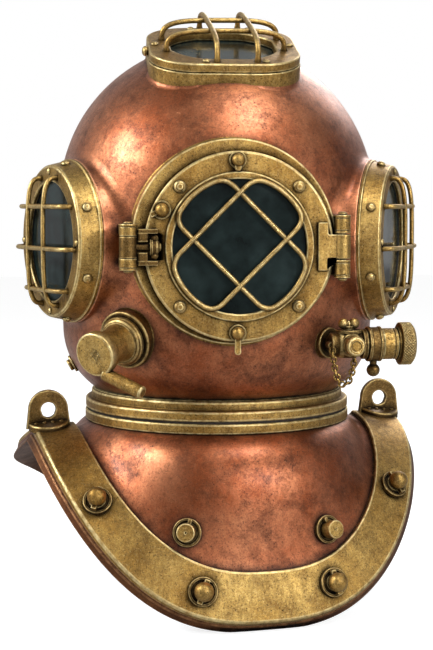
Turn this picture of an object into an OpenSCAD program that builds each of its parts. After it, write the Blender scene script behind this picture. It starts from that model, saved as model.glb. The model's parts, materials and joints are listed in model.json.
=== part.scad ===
// Hard-hat diving helmet: spun copper bonnet on a copper corselet.
// Origin: centre of the neck opening, in the joint between bonnet and corselet.
// +Z up, the front window looks along -Y, +X is to the viewer's right.

/* [Bonnet] */
// Radius of the spun dome, outside
dome_r = 152.5; // [145:0.5:160]
// Height of the dome's centre above the neck joint
dome_z = 199; // [190:0.5:208]
// Radius where the wall starts to turn in, outside
waist_r = 149.5; // [144:0.5:152]
// Height where the wall starts to turn in
waist_z = 79; // [74:0.5:84]
// Radius of the turn from wall to neck
turn_r = 72; // [68:0.5:76]
// Thickness of the bonnet's copper
dome_wall = 3; // [2:0.1:4]

/* [Neck] */
// Outside radius of the bonnet's neck ring
ring_r = 128; // [126:0.5:132]
// Height of the plain band on each neck ring
ring_h = 9; // [7:0.5:11]
// Height of the bonnet's neck ring above the joint
neck_top = 20; // [18:0.5:22]
// Radius of the clear neck opening
neck_bore_r = 108; // [102:0.5:110]
// Outside radius of the threaded spigot on the bonnet
spigot_r = 116; // [114:0.5:118]
// How far the spigot reaches into the corselet
spigot_h = 12; // [8:0.5:14]
// Radial room round the spigot
spigot_gap = 0.4; // [0.3:0.1:0.6]
// Thickness of the leather neck washer
washer_h = 2; // [1:0.5:3]

/* [Corselet] */
// Turn of the corselet against the bonnet, screwed home past centre
corselet_turn = 10; // [0:1:14]
// Radius of the copper where it meets the neck ring
chest_r = 126; // [124:0.5:128]
// Thickness of the corselet's copper
chest_wall = 2.5; // [2:0.1:3.5]
// Half width over the shoulders, at the rim
rim_half_w = 181; // [172:1:188]
// Half depth from front to back, at the rim
rim_half_d = 172.5; // [166:0.5:178]
// Height of the rim on the shoulders
rim_shoulder_z = -19; // [-24:0.5:-16]
// Height of the rim at the breast and back
rim_breast_z = -171; // [-180:1:-160]
// Half width of the bare copper inside the bands
bare_half_w = 142; // [138:1:146]
// Half depth of the bare copper inside the bands
bare_half_d = 164.5; // [160:0.5:168]
// Height of the bare copper's edge on the shoulders
bare_shoulder_z = -16; // [-18:0.5:-14]
// Height of the bare copper's edge at the breast
bare_breast_z = -127.5; // [-134:0.5:-120]
// Thickness of the clamping bands
band_h = 5; // [4:0.5:6]
// Thickness of the cast rim under the copper
rim_h = 6; // [5:0.5:8]
// How far under the rim's breast height lies the flat that it stands on
stand_drop = 9; // [8:0.5:11]

/* [Shoulder lugs] */
// Distance of each lug from the middle
lug_x = 168; // [164:0.5:170]
// Width of a lug's upright plate
lug_w = 38; // [34:0.5:40]
// Thickness of the upright plate
lug_t = 6; // [5:0.5:7]
// Radius of the hole in a lug
lug_hole_r = 7.2; // [5:0.1:8]
// Height of the hole's centre
lug_hole_z = 2; // [0:0.5:4]

/* [Front window] */
// Height of the seat's centre above the neck joint
seat_z = 164; // [162:0.5:166]
// Radius of the seat, outside
seat_r = 90; // [88:0.5:92]
// Distance of the seat's flat face from the axis
seat_y = 156; // [155:0.5:160]
// How far the door sits to the viewer's right of the seat
door_x = 3.5; // [2:0.5:4]
// Height of the door's centre
door_z = 160; // [158:0.5:162]
// Radius of the door plate
door_r = 83; // [82:0.5:84]
// Thickness of the door plate
door_h = 8; // [7:0.5:9]
// Radius of the raised step round the glass
step_r = 65; // [64:0.5:67]
// Height of the raised step
step_h = 3; // [2:0.5:4]
// Radius of the clear window
view_r = 58.5; // [56:0.5:60]
// Thickness of the window glass
glass_h = 5; // [4:0.5:5.5]

/* [Side windows] */
// Angle of each side window from the front
side_angle = 67.8; // [66:0.2:70]
// Height of the side windows' centre
side_z = 162.5; // [160:0.5:165]
// Distance of the side windows' seat from the axis
side_seat_d = 152.7; // [152:0.1:155]
// Depth of a side window's drum
drum_h = 21.4; // [18:0.2:24]
// Radius of the drum at its seat
drum_r = 75.5; // [74:0.5:77]
// Radius of the drum at its face
drum_face_r = 69.3; // [68:0.1:71]
// Radius of the clear side window
side_view_r = 55; // [52:0.5:57]

/* [Top window] */
// Forward tilt of the top window
top_tilt = 20.2; // [18:0.2:22]
// Distance of the top window's face from the dome's centre
top_face_d = 154.4; // [153:0.2:157]
// Half width of the top window's frame
top_half_w = 69.4; // [68:0.1:72]
// Half depth of the top window's frame
top_half_d = 66; // [63:0.5:68]
// Corner radius of the frame
top_corner_r = 42; // [36:1:50]
// Thickness of the upper frame
top_frame_h = 8.2; // [7:0.2:10]
// Radius of the clear top window
top_view_r = 52; // [48:0.5:54]

/* [Guards] */
// Radius of the guard rods
rod_r = 2.2; // [1.8:0.1:2.6]
// Distance of each front guard rod from the guard's centre
front_rod_d = 28.7; // [26:0.1:31]
// How far the front guard sits above the door's centre
front_guard_up = 6.5; // [4:0.5:8]
// Rise of the side guards over the drum's face
side_guard_rise = 14; // [10:0.5:18]
// Rise of the top guard over the frame
top_guard_rise = 18.5; // [14:0.5:22]

/* [Door hinge and swing bolt] */
// Distance of the hinge pin to the right of the middle
hinge_x = 94; // [92:0.5:96]
// Radius of the hinge pin
pin_r = 3; // [2:0.1:3.5]
// Radius of the hinge knuckles
knuckle_r = 7; // [6.5:0.1:7.5]
// Distance of the swing bolt's pin to the left of the middle
latch_x = 93.5; // [92:0.5:96]
// Radius of the swing bolt's barrel
barrel_r = 7.7; // [7:0.1:8]
// Radius of the swing bolt's shank
shank_r = 3.5; // [3:0.1:4]
// Radial room on turning pins
pin_gap = 0.06; // [0.03:0.01:0.09]

/* [Exhaust valve] */
// Angle of the exhaust valve to the left of the front
exhaust_angle = 38; // [36:0.5:40]
// Height of the exhaust valve on the wall
exhaust_z = 77; // [75:0.5:79]
// Downward tilt of the exhaust valve
exhaust_tilt = 12; // [8:1:16]
// Radius of the exhaust valve's flange
exhaust_flange_r = 26.4; // [24:0.2:28]
// Radius of the exhaust knob
exhaust_knob_r = 19.7; // [18:0.1:21]
// Length of the exhaust lever from the knob's centre
lever_l = 53; // [48:1:60]
// Radius of the exhaust lever
lever_r = 5.8; // [5:0.1:6.2]

/* [Supply cock] */
// Angle of the cock's flange to the right of the front
cock_angle = 36.4; // [35:0.2:38]
// Height of the cock above the neck joint
cock_z = 71.5; // [70:0.5:73]
// Radius of the cock's flange
cock_flange_r = 14; // [12:0.5:16]
// Radius of the cock's body
cock_body_r = 10.5; // [9:0.5:12]
// Radius of the outlet tube
tube_r = 14; // [12:0.5:15]
// Length of the keeper chain
chain_l = 60; // [50:1:75]
// Pitch of the keeper chain's links
link_pitch = 3.7; // [3.4:0.1:5]
// Radius of the handwheel
wheel_r = 19.4; // [18:0.1:21]
// Width of the handwheel
wheel_w = 15; // [12:0.5:17]

/* [Rear fittings] */
// Angle of each rear elbow from the back
elbow_angle = 24; // [20:1:28]
// Height of the rear elbows
elbow_z = 132; // [125:1:140]
// Outside radius of the elbow's tube
elbow_r = 13; // [11:0.5:15]
// Radius of the bore in the elbows
elbow_bore_r = 8; // [6:0.5:9]
// Bend radius of the elbows
elbow_bend_r = 26; // [22:1:30]

/* [Hidden] */

copper = "#9a5a3c";
dark_copper = "#6f4130";
brass = "#a8884a";
dark_brass = "#7d6535";
window_glass = "#2b3a3c";
leather = "#3a2a20";

// Small sizes shared by several pieces
fit = 0.3;
eps = 0.01;
edge = 1;
reach = 40;
round_fn = 48;
fine_fn = 240;

// Outline of the bonnet in its own half plane, drawn in by inset
turn_x = waist_r - turn_r;
module bonnet_outline(inset = 0) {
    intersection() {
        translate([0, dome_z]) circle(r = dome_r - inset, $fn = fine_fn);
        translate([0, dome_z]) square([dome_r, dome_r]);
    }
    polygon([[0, waist_z], [waist_r - inset, waist_z], [dome_r - inset, dome_z], [0, dome_z]]);
    intersection() {
        translate([turn_x, waist_z]) circle(r = turn_r - inset, $fn = fine_fn);
        translate([turn_x, neck_top]) square([turn_r, waist_z - neck_top]);
    }
    translate([0, neck_top]) square([turn_x, waist_z - neck_top]);
}
module bonnet_solid(inset = 0) {
    rotate_extrude($fn = fine_fn) bonnet_outline(inset);
}

// Places with local +Z pointing out of the bonnet
module facing(angle, z, tilt = 0) {
    translate([0, 0, z]) rotate([0, 0, angle]) rotate([90 + tilt, 0, 0]) children();
}
module facing_front(x, z) {
    translate([x, 0, z]) rotate([90, 0, 0]) children();
}
module facing_top() {
    translate([0, 0, dome_z]) rotate([top_tilt, 0, 0]) children();
}
module ring(outer, inner, low, high) {
    translate([0, 0, low]) difference() {
        cylinder(r = outer, h = high - low, $fn = round_fn);
        translate([0, 0, -edge]) cylinder(r = inner, h = high - low + 2 * edge, $fn = round_fn);
    }
}
// Ring whose outer front edge is broken by a small chamfer
module edged_ring(outer, inner, low, high) {
    rotate_extrude($fn = round_fn)
        polygon([[inner, low], [outer, low], [outer, high - edge], [outer - edge, high], [inner, high]]);
}
module button(r, h) {
    rotate_extrude($fn = 24)
        polygon([[0, 0], [r, 0], [r, h * 0.45], [r * 0.72, h * 0.85], [r * 0.3, h], [0, h]]);
}
// Round rod along a path that lies in one plane with the given normal
function unit(v) = v / norm(v);
function ahead(path, i, closed) = let(n = len(path)) closed ? path[(i + 1) % n] : path[min(i + 1, n - 1)];
function behind(path, i, closed) = let(n = len(path)) closed ? path[(i + n - 1) % n] : path[max(i - 1, 0)];
module rod(path, normal, r, sides = 8, closed = false) {
    n = len(path);
    points = [for (i = [0:n - 1])
        let(along = unit(ahead(path, i, closed) - behind(path, i, closed)),
            across = unit(cross(along, normal)))
        for (k = [0:sides - 1])
            let(a = 360 * k / sides) path[i] + r * (cos(a) * across + sin(a) * normal)];
    last = closed ? n - 1 : n - 2;
    skin = [for (i = [0:last], k = [0:sides - 1], side = [0, 1])
        let(p = i * sides, q = ((i + 1) % n) * sides, l = (k + 1) % sides)
        side == 0 ? [p + k, q + l, q + k] : [p + k, p + l, q + l]];
    caps = closed ? [] : [[for (k = [sides - 1:-1:0]) k], [for (k = [0:sides - 1]) (n - 1) * sides + k]];
    polyhedron(points = points, faces = concat(skin, caps), convexity = 6);
}
// Rod that rises from a face, crosses it in a bow and comes down again
bow_square = 3.6;
function bow(span, rise, steps = 10) = concat(
    [[-span / 2, 0, -rod_r]],
    [for (i = [0:steps]) let(s = sin(90 * (2 * i / steps - 1)))
        [s * span / 2, 0, rise * pow(1 - pow(abs(s), bow_square), 1 / bow_square)]],
    [[span / 2, 0, -rod_r]]);

// Shape of the breastplate. Three curves round the body carry it: the neck circle, the edge of the
// bare copper and the rim. Each curve is a superellipse in plan. In front it drops with the square
// of its depth, and behind it swells over the shoulder blade, drops at once and then again at the back
front_square = 2.6;
back_square = 2.3;
back_swell = 0.22;
front_fall = 2;
back_fall = 0.9;
back_share = 0.4;
back_drop = 9;
function lobe(a, half_w, half_d) = let(front = sin(a) < 0, n = front ? front_square : back_square,
    w = half_w * (front ? 1 : 1 + back_swell * sin(a)))
    pow(pow(abs(cos(a)) / w, n) + pow(abs(sin(a)) / half_d, n), -1 / n);
function fall(s) = s < 0 ? pow(-s, front_fall)
    : back_share * pow(s, back_fall) + (1 - back_share) * pow(s, back_drop);
function edge_point(a, half_w, half_d, high, low) = let(r = lobe(a, half_w, half_d))
    [r * cos(a), r * sin(a), high + (low - high) * fall(r * sin(a) / half_d)];
function rim_point(a) = edge_point(a, rim_half_w, rim_half_d, rim_shoulder_z, rim_breast_z);
function bare_point(a) = edge_point(a, bare_half_w, bare_half_d, bare_shoulder_z, bare_breast_z);
chest_z = -washer_h / 2 - ring_h;
function chest_start(a) = [chest_r * cos(a), chest_r * sin(a), chest_z];
start_slope = 25;
function bezier(p, q, s, t, u) =
    pow(1 - u, 3) * p + 3 * pow(1 - u, 2) * u * q + 3 * (1 - u) * u * u * s + pow(u, 3) * t;
// u runs from 0 at the neck to 1 at the bare copper's edge and 2 at the rim
function shell_point(a, u) = let(n = chest_start(a), i = bare_point(a), r = rim_point(a),
    size = norm(i - n), out = [cos(a) * cos(start_slope), sin(a) * cos(start_slope), -sin(start_slope)])
    u > 1 ? i + (r - i) * (u - 1)
    : bezier(n, n + 0.35 * size * out, i - 0.45 * size * unit(r - i), i, u);
function normal_at(a, u) = let(d = 0.02, w = min(max(u, d), 2 - d))
    unit(cross(shell_point(a + d, w) - shell_point(a - d, w),
        shell_point(a, w + d) - shell_point(a, w - d)));
function raised(a, u, h) = shell_point(a, u) + h * normal_at(a, u) * -1;
module on_shell(a, u, h = 0) {
    p = raised(a, u, h);
    n = -normal_at(a, u);
    translate(p) rotate([0, acos(n[2]), atan2(n[1], n[0])]) children();
}
// Closed skin between two heights over the surface, for a full turn or a part of one
module skin(low, high, us, angles, whole = false, flare = 0) {
    m = len(us);
    count = len(angles);
    points = [for (a = angles) each concat([for (u = us) raised(a, u, high)],
        [for (j = [m - 1:-1:0]) raised(a, us[j] + (j == m - 1 ? flare : 0), low)])];
    w = 2 * m;
    last = whole ? count - 1 : count - 2;
    sides = [for (i = [0:last], k = [0:w - 1], side = [0, 1])
        let(p = i * w, q = ((i + 1) % count) * w, l = (k + 1) % w)
        k < m ? (side == 0 ? [p + k, q + l, p + l] : [p + k, q + k, q + l])
        : (side == 0 ? [p + k, q + k, p + l] : [q + k, q + l, p + l])];
    ends = whole ? [] : [[for (k = [0:w - 1]) k], [for (k = [w - 1:-1:0]) (count - 1) * w + k]];
    polyhedron(points = points, faces = concat(sides, ends), convexity = 8);
}
module corselet_frame() {
    rotate([0, 0, corselet_turn]) children();
}

// Corselet: copper breastplate
round_steps = 96;
function round_angles(from, to) = [for (i = [ceil(from * round_steps / 360):floor(to * round_steps / 360)])
    360 * i / round_steps];
whole_turn = round_angles(0, 359);
band_stations = [1, 1.62, 2];
edge_flare = 0.06;
chest_stations = concat([0, 0.12, 0.26, 0.42, 0.6, 0.8], band_stations, [2 + edge_flare]);
module corselet_shell() {
    color(copper) corselet_frame()
        skin(-chest_wall, 0, chest_stations, whole_turn, true, edge_flare / 2);
}
// Corselet: ring that takes the bonnet's spigot
module corselet_neck_ring() {
    socket = spigot_r + spigot_gap;
    top = -washer_h / 2;
    low = chest_z;
    color(brass) rotate_extrude($fn = 96)
        polygon([[socket, top], [ring_r + 0.5 - edge, top], [ring_r + 0.5, top - edge],
            [ring_r + 0.5, low + edge], [ring_r + 0.5 - edge, low], [chest_r - chest_wall - fit, low],
            [chest_r - chest_wall - fit, top - spigot_h - 4], [neck_bore_r, top - spigot_h - 4],
            [neck_bore_r, top - spigot_h - fit], [socket, top - spigot_h - fit]]);
}
// Corselet: cast rim brazed under the edge of the copper, splayed towards its foot
rim_flare = 0.13;
module cast_rim() {
    color(dark_copper) intersection() {
        corselet_frame()
            skin(-chest_wall - rim_h, -chest_wall - fit, [band_stations[1], 2, 2 + 1.5 * edge_flare],
                whole_turn, true, rim_flare);
        // The helmet stands on two flats, at the breast and at the back
        translate([-2 * rim_half_w, -2 * rim_half_w, rim_breast_z - stand_drop])
            cube([4 * rim_half_w, 4 * rim_half_w, 2 * rim_half_w]);
    }
}
// Corselet: clamping bands, meeting under the shoulder lugs
joint_angle = 0.4;
module band(from, to) {
    skin(fit, band_h, band_stations, concat([from], round_angles(from, to), [to]), flare = edge_flare);
}
module front_band() {
    color(brass) corselet_frame() band(-180 + joint_angle, -joint_angle);
}
module rear_band() {
    color(brass) corselet_frame() band(joint_angle, 180 - joint_angle);
}
// Corselet: lugs that hold the weights and lines
lug_y = -6;
foot_l = 20;
foot_h = 4;
// Half the angle over which the lug follows the band
lug_span = 26;
module lug(side) {
    middle = side > 0 ? 0 : 180;
    near = round_angles(middle - lug_span, middle + lug_span);
    seat_h = band_h + fit;
    difference() {
        union() {
            translate([side * lug_x, lug_y, lug_hole_z]) rotate([90, 0, 0]) translate([0, 0, -lug_t / 2])
                cylinder(r = lug_w / 2, h = lug_t, $fn = round_fn);
            translate([side * lug_x - lug_w / 2, lug_y - lug_t / 2, lug_hole_z - reach])
                cube([lug_w, lug_t, reach]);
            intersection() {
                translate([side * lug_x, lug_y - lug_t / 2 + eps, -2 * reach]) intersection() {
                    cylinder(r = foot_l, h = 3 * reach, $fn = round_fn);
                    translate([-lug_w / 2, -foot_l, 0]) cube([lug_w, foot_l, 3 * reach]);
                }
                skin(seat_h / 2, seat_h + foot_h, band_stations, near);
            }
        }
        skin(-reach, seat_h, concat(band_stations, [2.5]), near);
        translate([side * lug_x, lug_y, lug_hole_z]) rotate([90, 0, 0])
            cylinder(r = lug_hole_r, h = 2 * lug_t, center = true, $fn = round_fn);
    }
}
module left_lug() {
    color(brass) corselet_frame() lug(-1);
}
module right_lug() {
    color(brass) corselet_frame() lug(1);
}
// Corselet: studs through the bands and their domed nuts
stud_angles = [37.2, 70];
stud_places = [for (s = stud_angles) each [-s, s - 180, s, 180 - s]];
stud_u = 1.51;
collar_r = 13;
collar_h = 3.5;
nut_r = 8.6;
nut_h = 15;
stud_r = 4;
stud_seat = band_h + 3 * fit;
module band_studs() {
    color(dark_brass) corselet_frame() for (a = stud_places)
        on_shell(a, stud_u, stud_seat) {
            difference() {
                union() {
                    cylinder(r1 = collar_r - edge, r2 = collar_r, h = edge, $fn = round_fn);
                    translate([0, 0, edge]) cylinder(r = collar_r, h = collar_h - edge, $fn = round_fn);
                    cylinder(r = stud_r, h = collar_h + 5, $fn = 24);
                }
                translate([0, 0, collar_h - 1.2]) ring(collar_r - 2, stud_r + 3.5, 0, 2);
            }
        }
}
module band_nuts() {
    color(brass) corselet_frame() for (a = stud_places)
        on_shell(a, stud_u, stud_seat + collar_h + fit) {
            difference() {
                union() {
                    cylinder(r = nut_r * 0.8, h = 5, $fn = round_fn);
                    intersection() {
                        translate([0, 0, nut_h - nut_r]) sphere(r = nut_r, $fn = round_fn);
                        cylinder(r = nut_r, h = nut_h, $fn = round_fn);
                    }
                    translate([-nut_r - 2.5, -2.5, 0.3]) cube([2 * nut_r + 5, 5, 4.5]);
                }
                translate([0, 0, -edge]) cylinder(r = stud_r + 0.2, h = 6.5 + edge, $fn = 24);
            }
        }
}
// Corselet: two plain studs on the breast, for the lashing
chest_stud_angles = [-68.8, -114.8];
chest_stud_u = 0.85;
chest_base_r = 12.5;
chest_base_h = 3.5;
chest_stud_r = 8.2;
chest_stud_h = 15;
chest_stud_room = 0.2;
chest_stud_sink = 0.5;
module chest_stud_bases() {
    color(dark_brass) corselet_frame() for (a = chest_stud_angles)
        on_shell(a, chest_stud_u, chest_stud_sink)
            ring(chest_base_r, chest_stud_r + chest_stud_room, 0, chest_base_h);
}
module chest_studs() {
    color(brass) corselet_frame() for (a = chest_stud_angles)
        on_shell(a, chest_stud_u, chest_stud_sink) {
            cylinder(r = chest_stud_r, h = chest_stud_h, $fn = round_fn);
            translate([0, 0, chest_stud_h])
                cylinder(r1 = chest_stud_r, r2 = chest_stud_r - 0.6, h = 0.8, $fn = round_fn);
        }
}
// Corselet: fork that carries the safety latch behind the neck
latch_y = ring_r + 9;
latch_z = -6;
latch_w = 8;
latch_l = 23;
latch_lie = -25;
latch_ball_r = 5.5;
latch_pin_r = 2.5;
latch_ear = 4;
module latch_bracket() {
    color(dark_brass) difference() {
        union() {
            for (x = [-latch_w / 2 - latch_ear, latch_w / 2]) hull() {
                translate([x, latch_y, latch_z]) rotate([0, 90, 0])
                    cylinder(r = latch_ball_r, h = latch_ear, $fn = 24);
                translate([x, ring_r - 6, latch_z - 3]) cube([latch_ear, 2, 7]);
            }
            translate([-latch_w / 2 - edge, latch_y, latch_z]) rotate([0, 90, 0])
                cylinder(r = latch_pin_r, h = latch_w + 2 * edge, $fn = 24);
        }
        translate([0, 0, -reach]) cylinder(r = ring_r + 0.55, h = 2 * reach, $fn = fine_fn);
    }
}

// Leather washer in the neck joint
module neck_washer() {
    color(leather) ring(ring_r - 2, spigot_r + spigot_gap, -washer_h / 2, washer_h / 2);
}

// Bonnet: spun shell with its openings
seat_spigot_r = view_r + 8.5;
side_spigot_r = side_view_r + 8;
top_spigot_r = top_view_r + 6;
valve_bore_r = 10;
module bonnet_shell() {
    color(copper) difference() {
        bonnet_solid();
        translate([0, 0, -eps]) bonnet_solid(dome_wall);
        translate([0, 0, neck_top - edge]) cylinder(r = waist_r - turn_r + sqrt(pow(turn_r - dome_wall, 2)
            - pow(waist_z - neck_top, 2)), h = 2 * edge, $fn = 96);
        facing_front(door_x, door_z) cylinder(r = seat_spigot_r, h = 2 * dome_r, $fn = 96);
        for (side = [-1, 1]) facing(side * side_angle, side_z)
            cylinder(r = side_spigot_r, h = 2 * dome_r, $fn = 96);
        facing_top() cylinder(r = top_spigot_r, h = 2 * dome_r, $fn = 96);
        exhaust_place() translate([0, 0, -reach]) cylinder(r = valve_bore_r, h = 2 * reach, $fn = 48);
        facing(cock_angle, cock_z) cylinder(r = 5, h = 2 * dome_r, $fn = 32);
        for (side = [-1, 1]) facing(180 + side * elbow_angle, elbow_z)
            cylinder(r = elbow_bore_r, h = 2 * dome_r, $fn = 32);
    }
}
module bonnet_neck_ring() {
    low = washer_h / 2;
    foot_r = turn_x + sqrt(pow(turn_r, 2) - pow(waist_z - neck_top, 2));
    color(brass) rotate_extrude($fn = 96)
        polygon([[neck_bore_r, low - spigot_h], [spigot_r - edge, low - spigot_h],
            [spigot_r, low - spigot_h + edge], [spigot_r, low], [ring_r - edge, low],
            [ring_r, low + edge], [ring_r, low + ring_h - edge], [ring_r - edge, low + ring_h],
            [foot_r + 2.5, neck_top - 3], [foot_r + 2.5, neck_top - edge], [foot_r + 1.5, neck_top],
            [neck_bore_r, neck_top]]);
}
// Bonnet: seat for the front window, standing on the copper
module front_seat() {
    color(brass) difference() {
        union() {
            difference() {
                facing_front(0, seat_z) translate([0, 0, reach])
                    edged_ring(seat_r, 1, 0, seat_y - reach);
                bonnet_solid();
            }
            difference() {
                facing_front(door_x, door_z) translate([0, 0, reach])
                    cylinder(r = seat_spigot_r, h = seat_y - reach - edge, $fn = 96);
                bonnet_solid(dome_wall + 2);
            }
        }
        facing_front(door_x, door_z) cylinder(r = view_r + 3, h = 2 * dome_r, $fn = 96);
    }
}

// Side windows: a copper collar raised from the dome, a brass drum, glass, gasket and guard
module side_place(side) {
    facing(side * side_angle, side_z) children();
}
collar_flare = 3.5;
module port_cone(side, extra = 0) {
    side_place(side) translate([0, 0, reach])
        cylinder(r1 = drum_r + 0.5 + collar_flare * 4 + extra, r2 = drum_r + 0.5 + extra,
            h = side_seat_d - reach, $fn = 96);
}
module seat_block(extra = 0.05) {
    facing_front(0, seat_z) cylinder(r = seat_r + extra, h = seat_y, $fn = round_fn);
}
module port_collar(side) {
    color(copper) difference() {
        port_cone(side);
        bonnet_solid();
        seat_block();
        side_place(side) cylinder(r = side_spigot_r, h = 2 * dome_r, $fn = 96);
    }
}
module left_port_collar() {
    port_collar(-1);
}
module right_port_collar() {
    mirror([1, 0, 0]) port_collar(-1);
}
side_glass_r = side_view_r + 3;
side_lip = 4;
side_glass_top = side_seat_d + drum_h - side_lip;
module port_frame(side) {
    face = side_seat_d + drum_h;
    color(brass) side_place(side) {
        rotate_extrude($fn = 96)
            polygon([[side_glass_r + 0.5, side_seat_d + 0.2], [drum_r, side_seat_d + 0.2],
                [drum_r, side_seat_d + 2.5], [drum_r - 1.2, side_seat_d + 3.5],
                [drum_face_r + 0.8, face - 1], [drum_face_r - 0.4, face], [side_view_r, face],
                [side_view_r, side_glass_top], [side_glass_r + 0.5, side_glass_top]]);
    }
    color(brass) difference() {
        side_place(side) ring(side_spigot_r, side_glass_r + 0.5, 2 * reach, side_seat_d + 0.2 + eps);
        bonnet_solid(dome_wall + 2);
    }
}
module left_port_frame() {
    port_frame(-1);
}
module right_port_frame() {
    port_frame(1);
}
gasket_h = 1;
module port_gasket(side) {
    color(leather) side_place(side)
        ring(side_glass_r, side_view_r + 0.5, side_glass_top - gasket_h, side_glass_top);
}
module left_port_gasket() {
    port_gasket(-1);
}
module right_port_gasket() {
    port_gasket(1);
}
module port_glass(side) {
    top = side_glass_top - gasket_h;
    color(window_glass) side_place(side) translate([0, 0, top - glass_h])
        cylinder(r = side_glass_r, h = glass_h, $fn = 96);
}
module left_port_glass() {
    port_glass(-1);
}
module right_port_glass() {
    port_glass(1);
}
guard_foot_r = 61;
upright_x = 19;
rung_ys = [32, -6, -44];
module port_guard(side) {
    color(brass) side_place(side) translate([0, 0, side_seat_d + drum_h]) union() {
        for (y = rung_ys) let(span = 2 * sqrt(pow(guard_foot_r, 2) - pow(y, 2)))
            translate([0, y, 0]) rod(bow(span, side_guard_rise * sqrt(span / 2 / guard_foot_r)), [0, 1, 0],
                rod_r);
        for (x = [-upright_x, upright_x]) let(span = 2 * sqrt(pow(guard_foot_r, 2) - pow(x, 2)))
            translate([x, 0, 0]) rotate([0, 0, 90]) rod(bow(span, side_guard_rise), [0, 1, 0], rod_r);
    }
}
module left_port_guard() {
    port_guard(-1);
}
module right_port_guard() {
    port_guard(1);
}
wall_screws = 7;
face_screw_angles = [0, 90, 180, 270];
screw_r = 4;
module side_port_screws() {
    mid_d = side_seat_d + drum_h / 2 + 1;
    mid_r = (drum_r + drum_face_r) / 2 + 0.1;
    taper = atan((drum_r - drum_face_r) / drum_h);
    color(brass) for (side = [-1, 1]) side_place(side) {
        for (i = [0:wall_screws - 1]) rotate([0, 0, (side > 0 ? 180 : 0) + (i + 0.5) * 360 / wall_screws])
            translate([mid_r, 0, mid_d]) rotate([0, 90 - taper, 0]) button(screw_r, 3);
        for (a = face_screw_angles) rotate([0, 0, a])
            translate([(guard_foot_r + drum_face_r) / 2 - 1, 0, side_seat_d + drum_h]) button(3, 2.2);
    }
}

// Top window: base on the dome, frame, glass and guard
module rounded_plate(low, high, inset = 0) {
    side_x = top_half_w - top_corner_r;
    side_y = top_half_d - top_corner_r;
    translate([0, 0, low]) linear_extrude(height = high - low) union() {
        square([2 * side_x, 2 * (top_half_d - inset)], center = true);
        square([2 * (top_half_w - inset), 2 * side_y], center = true);
        for (x = [-1, 1], y = [-1, 1]) translate([x * side_x, y * side_y])
            circle(r = top_corner_r - inset, $fn = 96);
    }
}
top_split_d = top_face_d - top_frame_h;
top_base_h = 8;
top_base_top = top_split_d - 0.4;
top_base_low = top_base_top - top_base_h;
top_glass_r = top_view_r + 2.5;
module top_port_collar() {
    color(copper) difference() {
        facing_top() rounded_plate(2 * reach, top_base_low, 2);
        bonnet_solid();
        facing_top() cylinder(r = top_spigot_r, h = 2 * dome_r, $fn = 96);
    }
}
module top_port_base() {
    color(brass) difference() {
        union() {
            difference() {
                facing_top() rounded_plate(top_base_low, top_base_top, -0.6);
                bonnet_solid();
            }
            difference() {
                facing_top() translate([0, 0, 2 * reach])
                    cylinder(r = top_spigot_r, h = top_base_top - 2 * reach, $fn = 96);
                bonnet_solid(dome_wall + 2);
            }
        }
        facing_top() cylinder(r = top_view_r, h = 2 * dome_r, $fn = 96);
        facing_top() translate([0, 0, top_base_top - glass_h])
            cylinder(r = top_glass_r, h = dome_r, $fn = 96);
    }
}
module top_port_frame() {
    color(brass) facing_top() difference() {
        rounded_plate(top_split_d, top_face_d);
        cylinder(r = top_view_r, h = 2 * dome_r, $fn = 96);
    }
}
module top_port_glass() {
    color(window_glass) facing_top() translate([0, 0, top_base_top - glass_h + 0.1])
        cylinder(r = top_glass_r - 0.2, h = glass_h, $fn = 96);
}
top_rod_r = 2.5;
top_grille_turn = 3;
top_grille_x = 5;
rail_y = 20;
rail_span = 109;
bar_x = 18.5;
bar_span = 117;
module top_port_guard() {
    color(brass) facing_top() translate([0, 0, top_face_d]) rotate([0, 0, top_grille_turn]) union() {
        for (y = [-rail_y, rail_y])
            translate([0, y, 0]) rod(bow(rail_span, top_guard_rise), [0, 1, 0], top_rod_r);
        for (x = [top_grille_x - bar_x, top_grille_x + bar_x])
            translate([x, 0, 0]) rotate([0, 0, 90])
                rod(bow(bar_span, top_guard_rise + rod_r), [0, 1, 0], top_rod_r);
    }
}
top_screw_places = [[-20, -58], [34, -58], [-63, 0], [63, 0], [-25, 58], [30, 58]];
module top_port_screws() {
    color(brass) facing_top() {
        for (p = top_screw_places) translate([p[0], p[1], top_face_d]) button(3.4, 2.6);
        translate([-top_half_w, -8, top_face_d - top_frame_h / 2]) rotate([0, -90, 0]) {
            cylinder(r = 4, h = 2, $fn = 24);
            translate([0, 0, 2]) button(4.6, 3.6);
        }
    }
}

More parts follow.
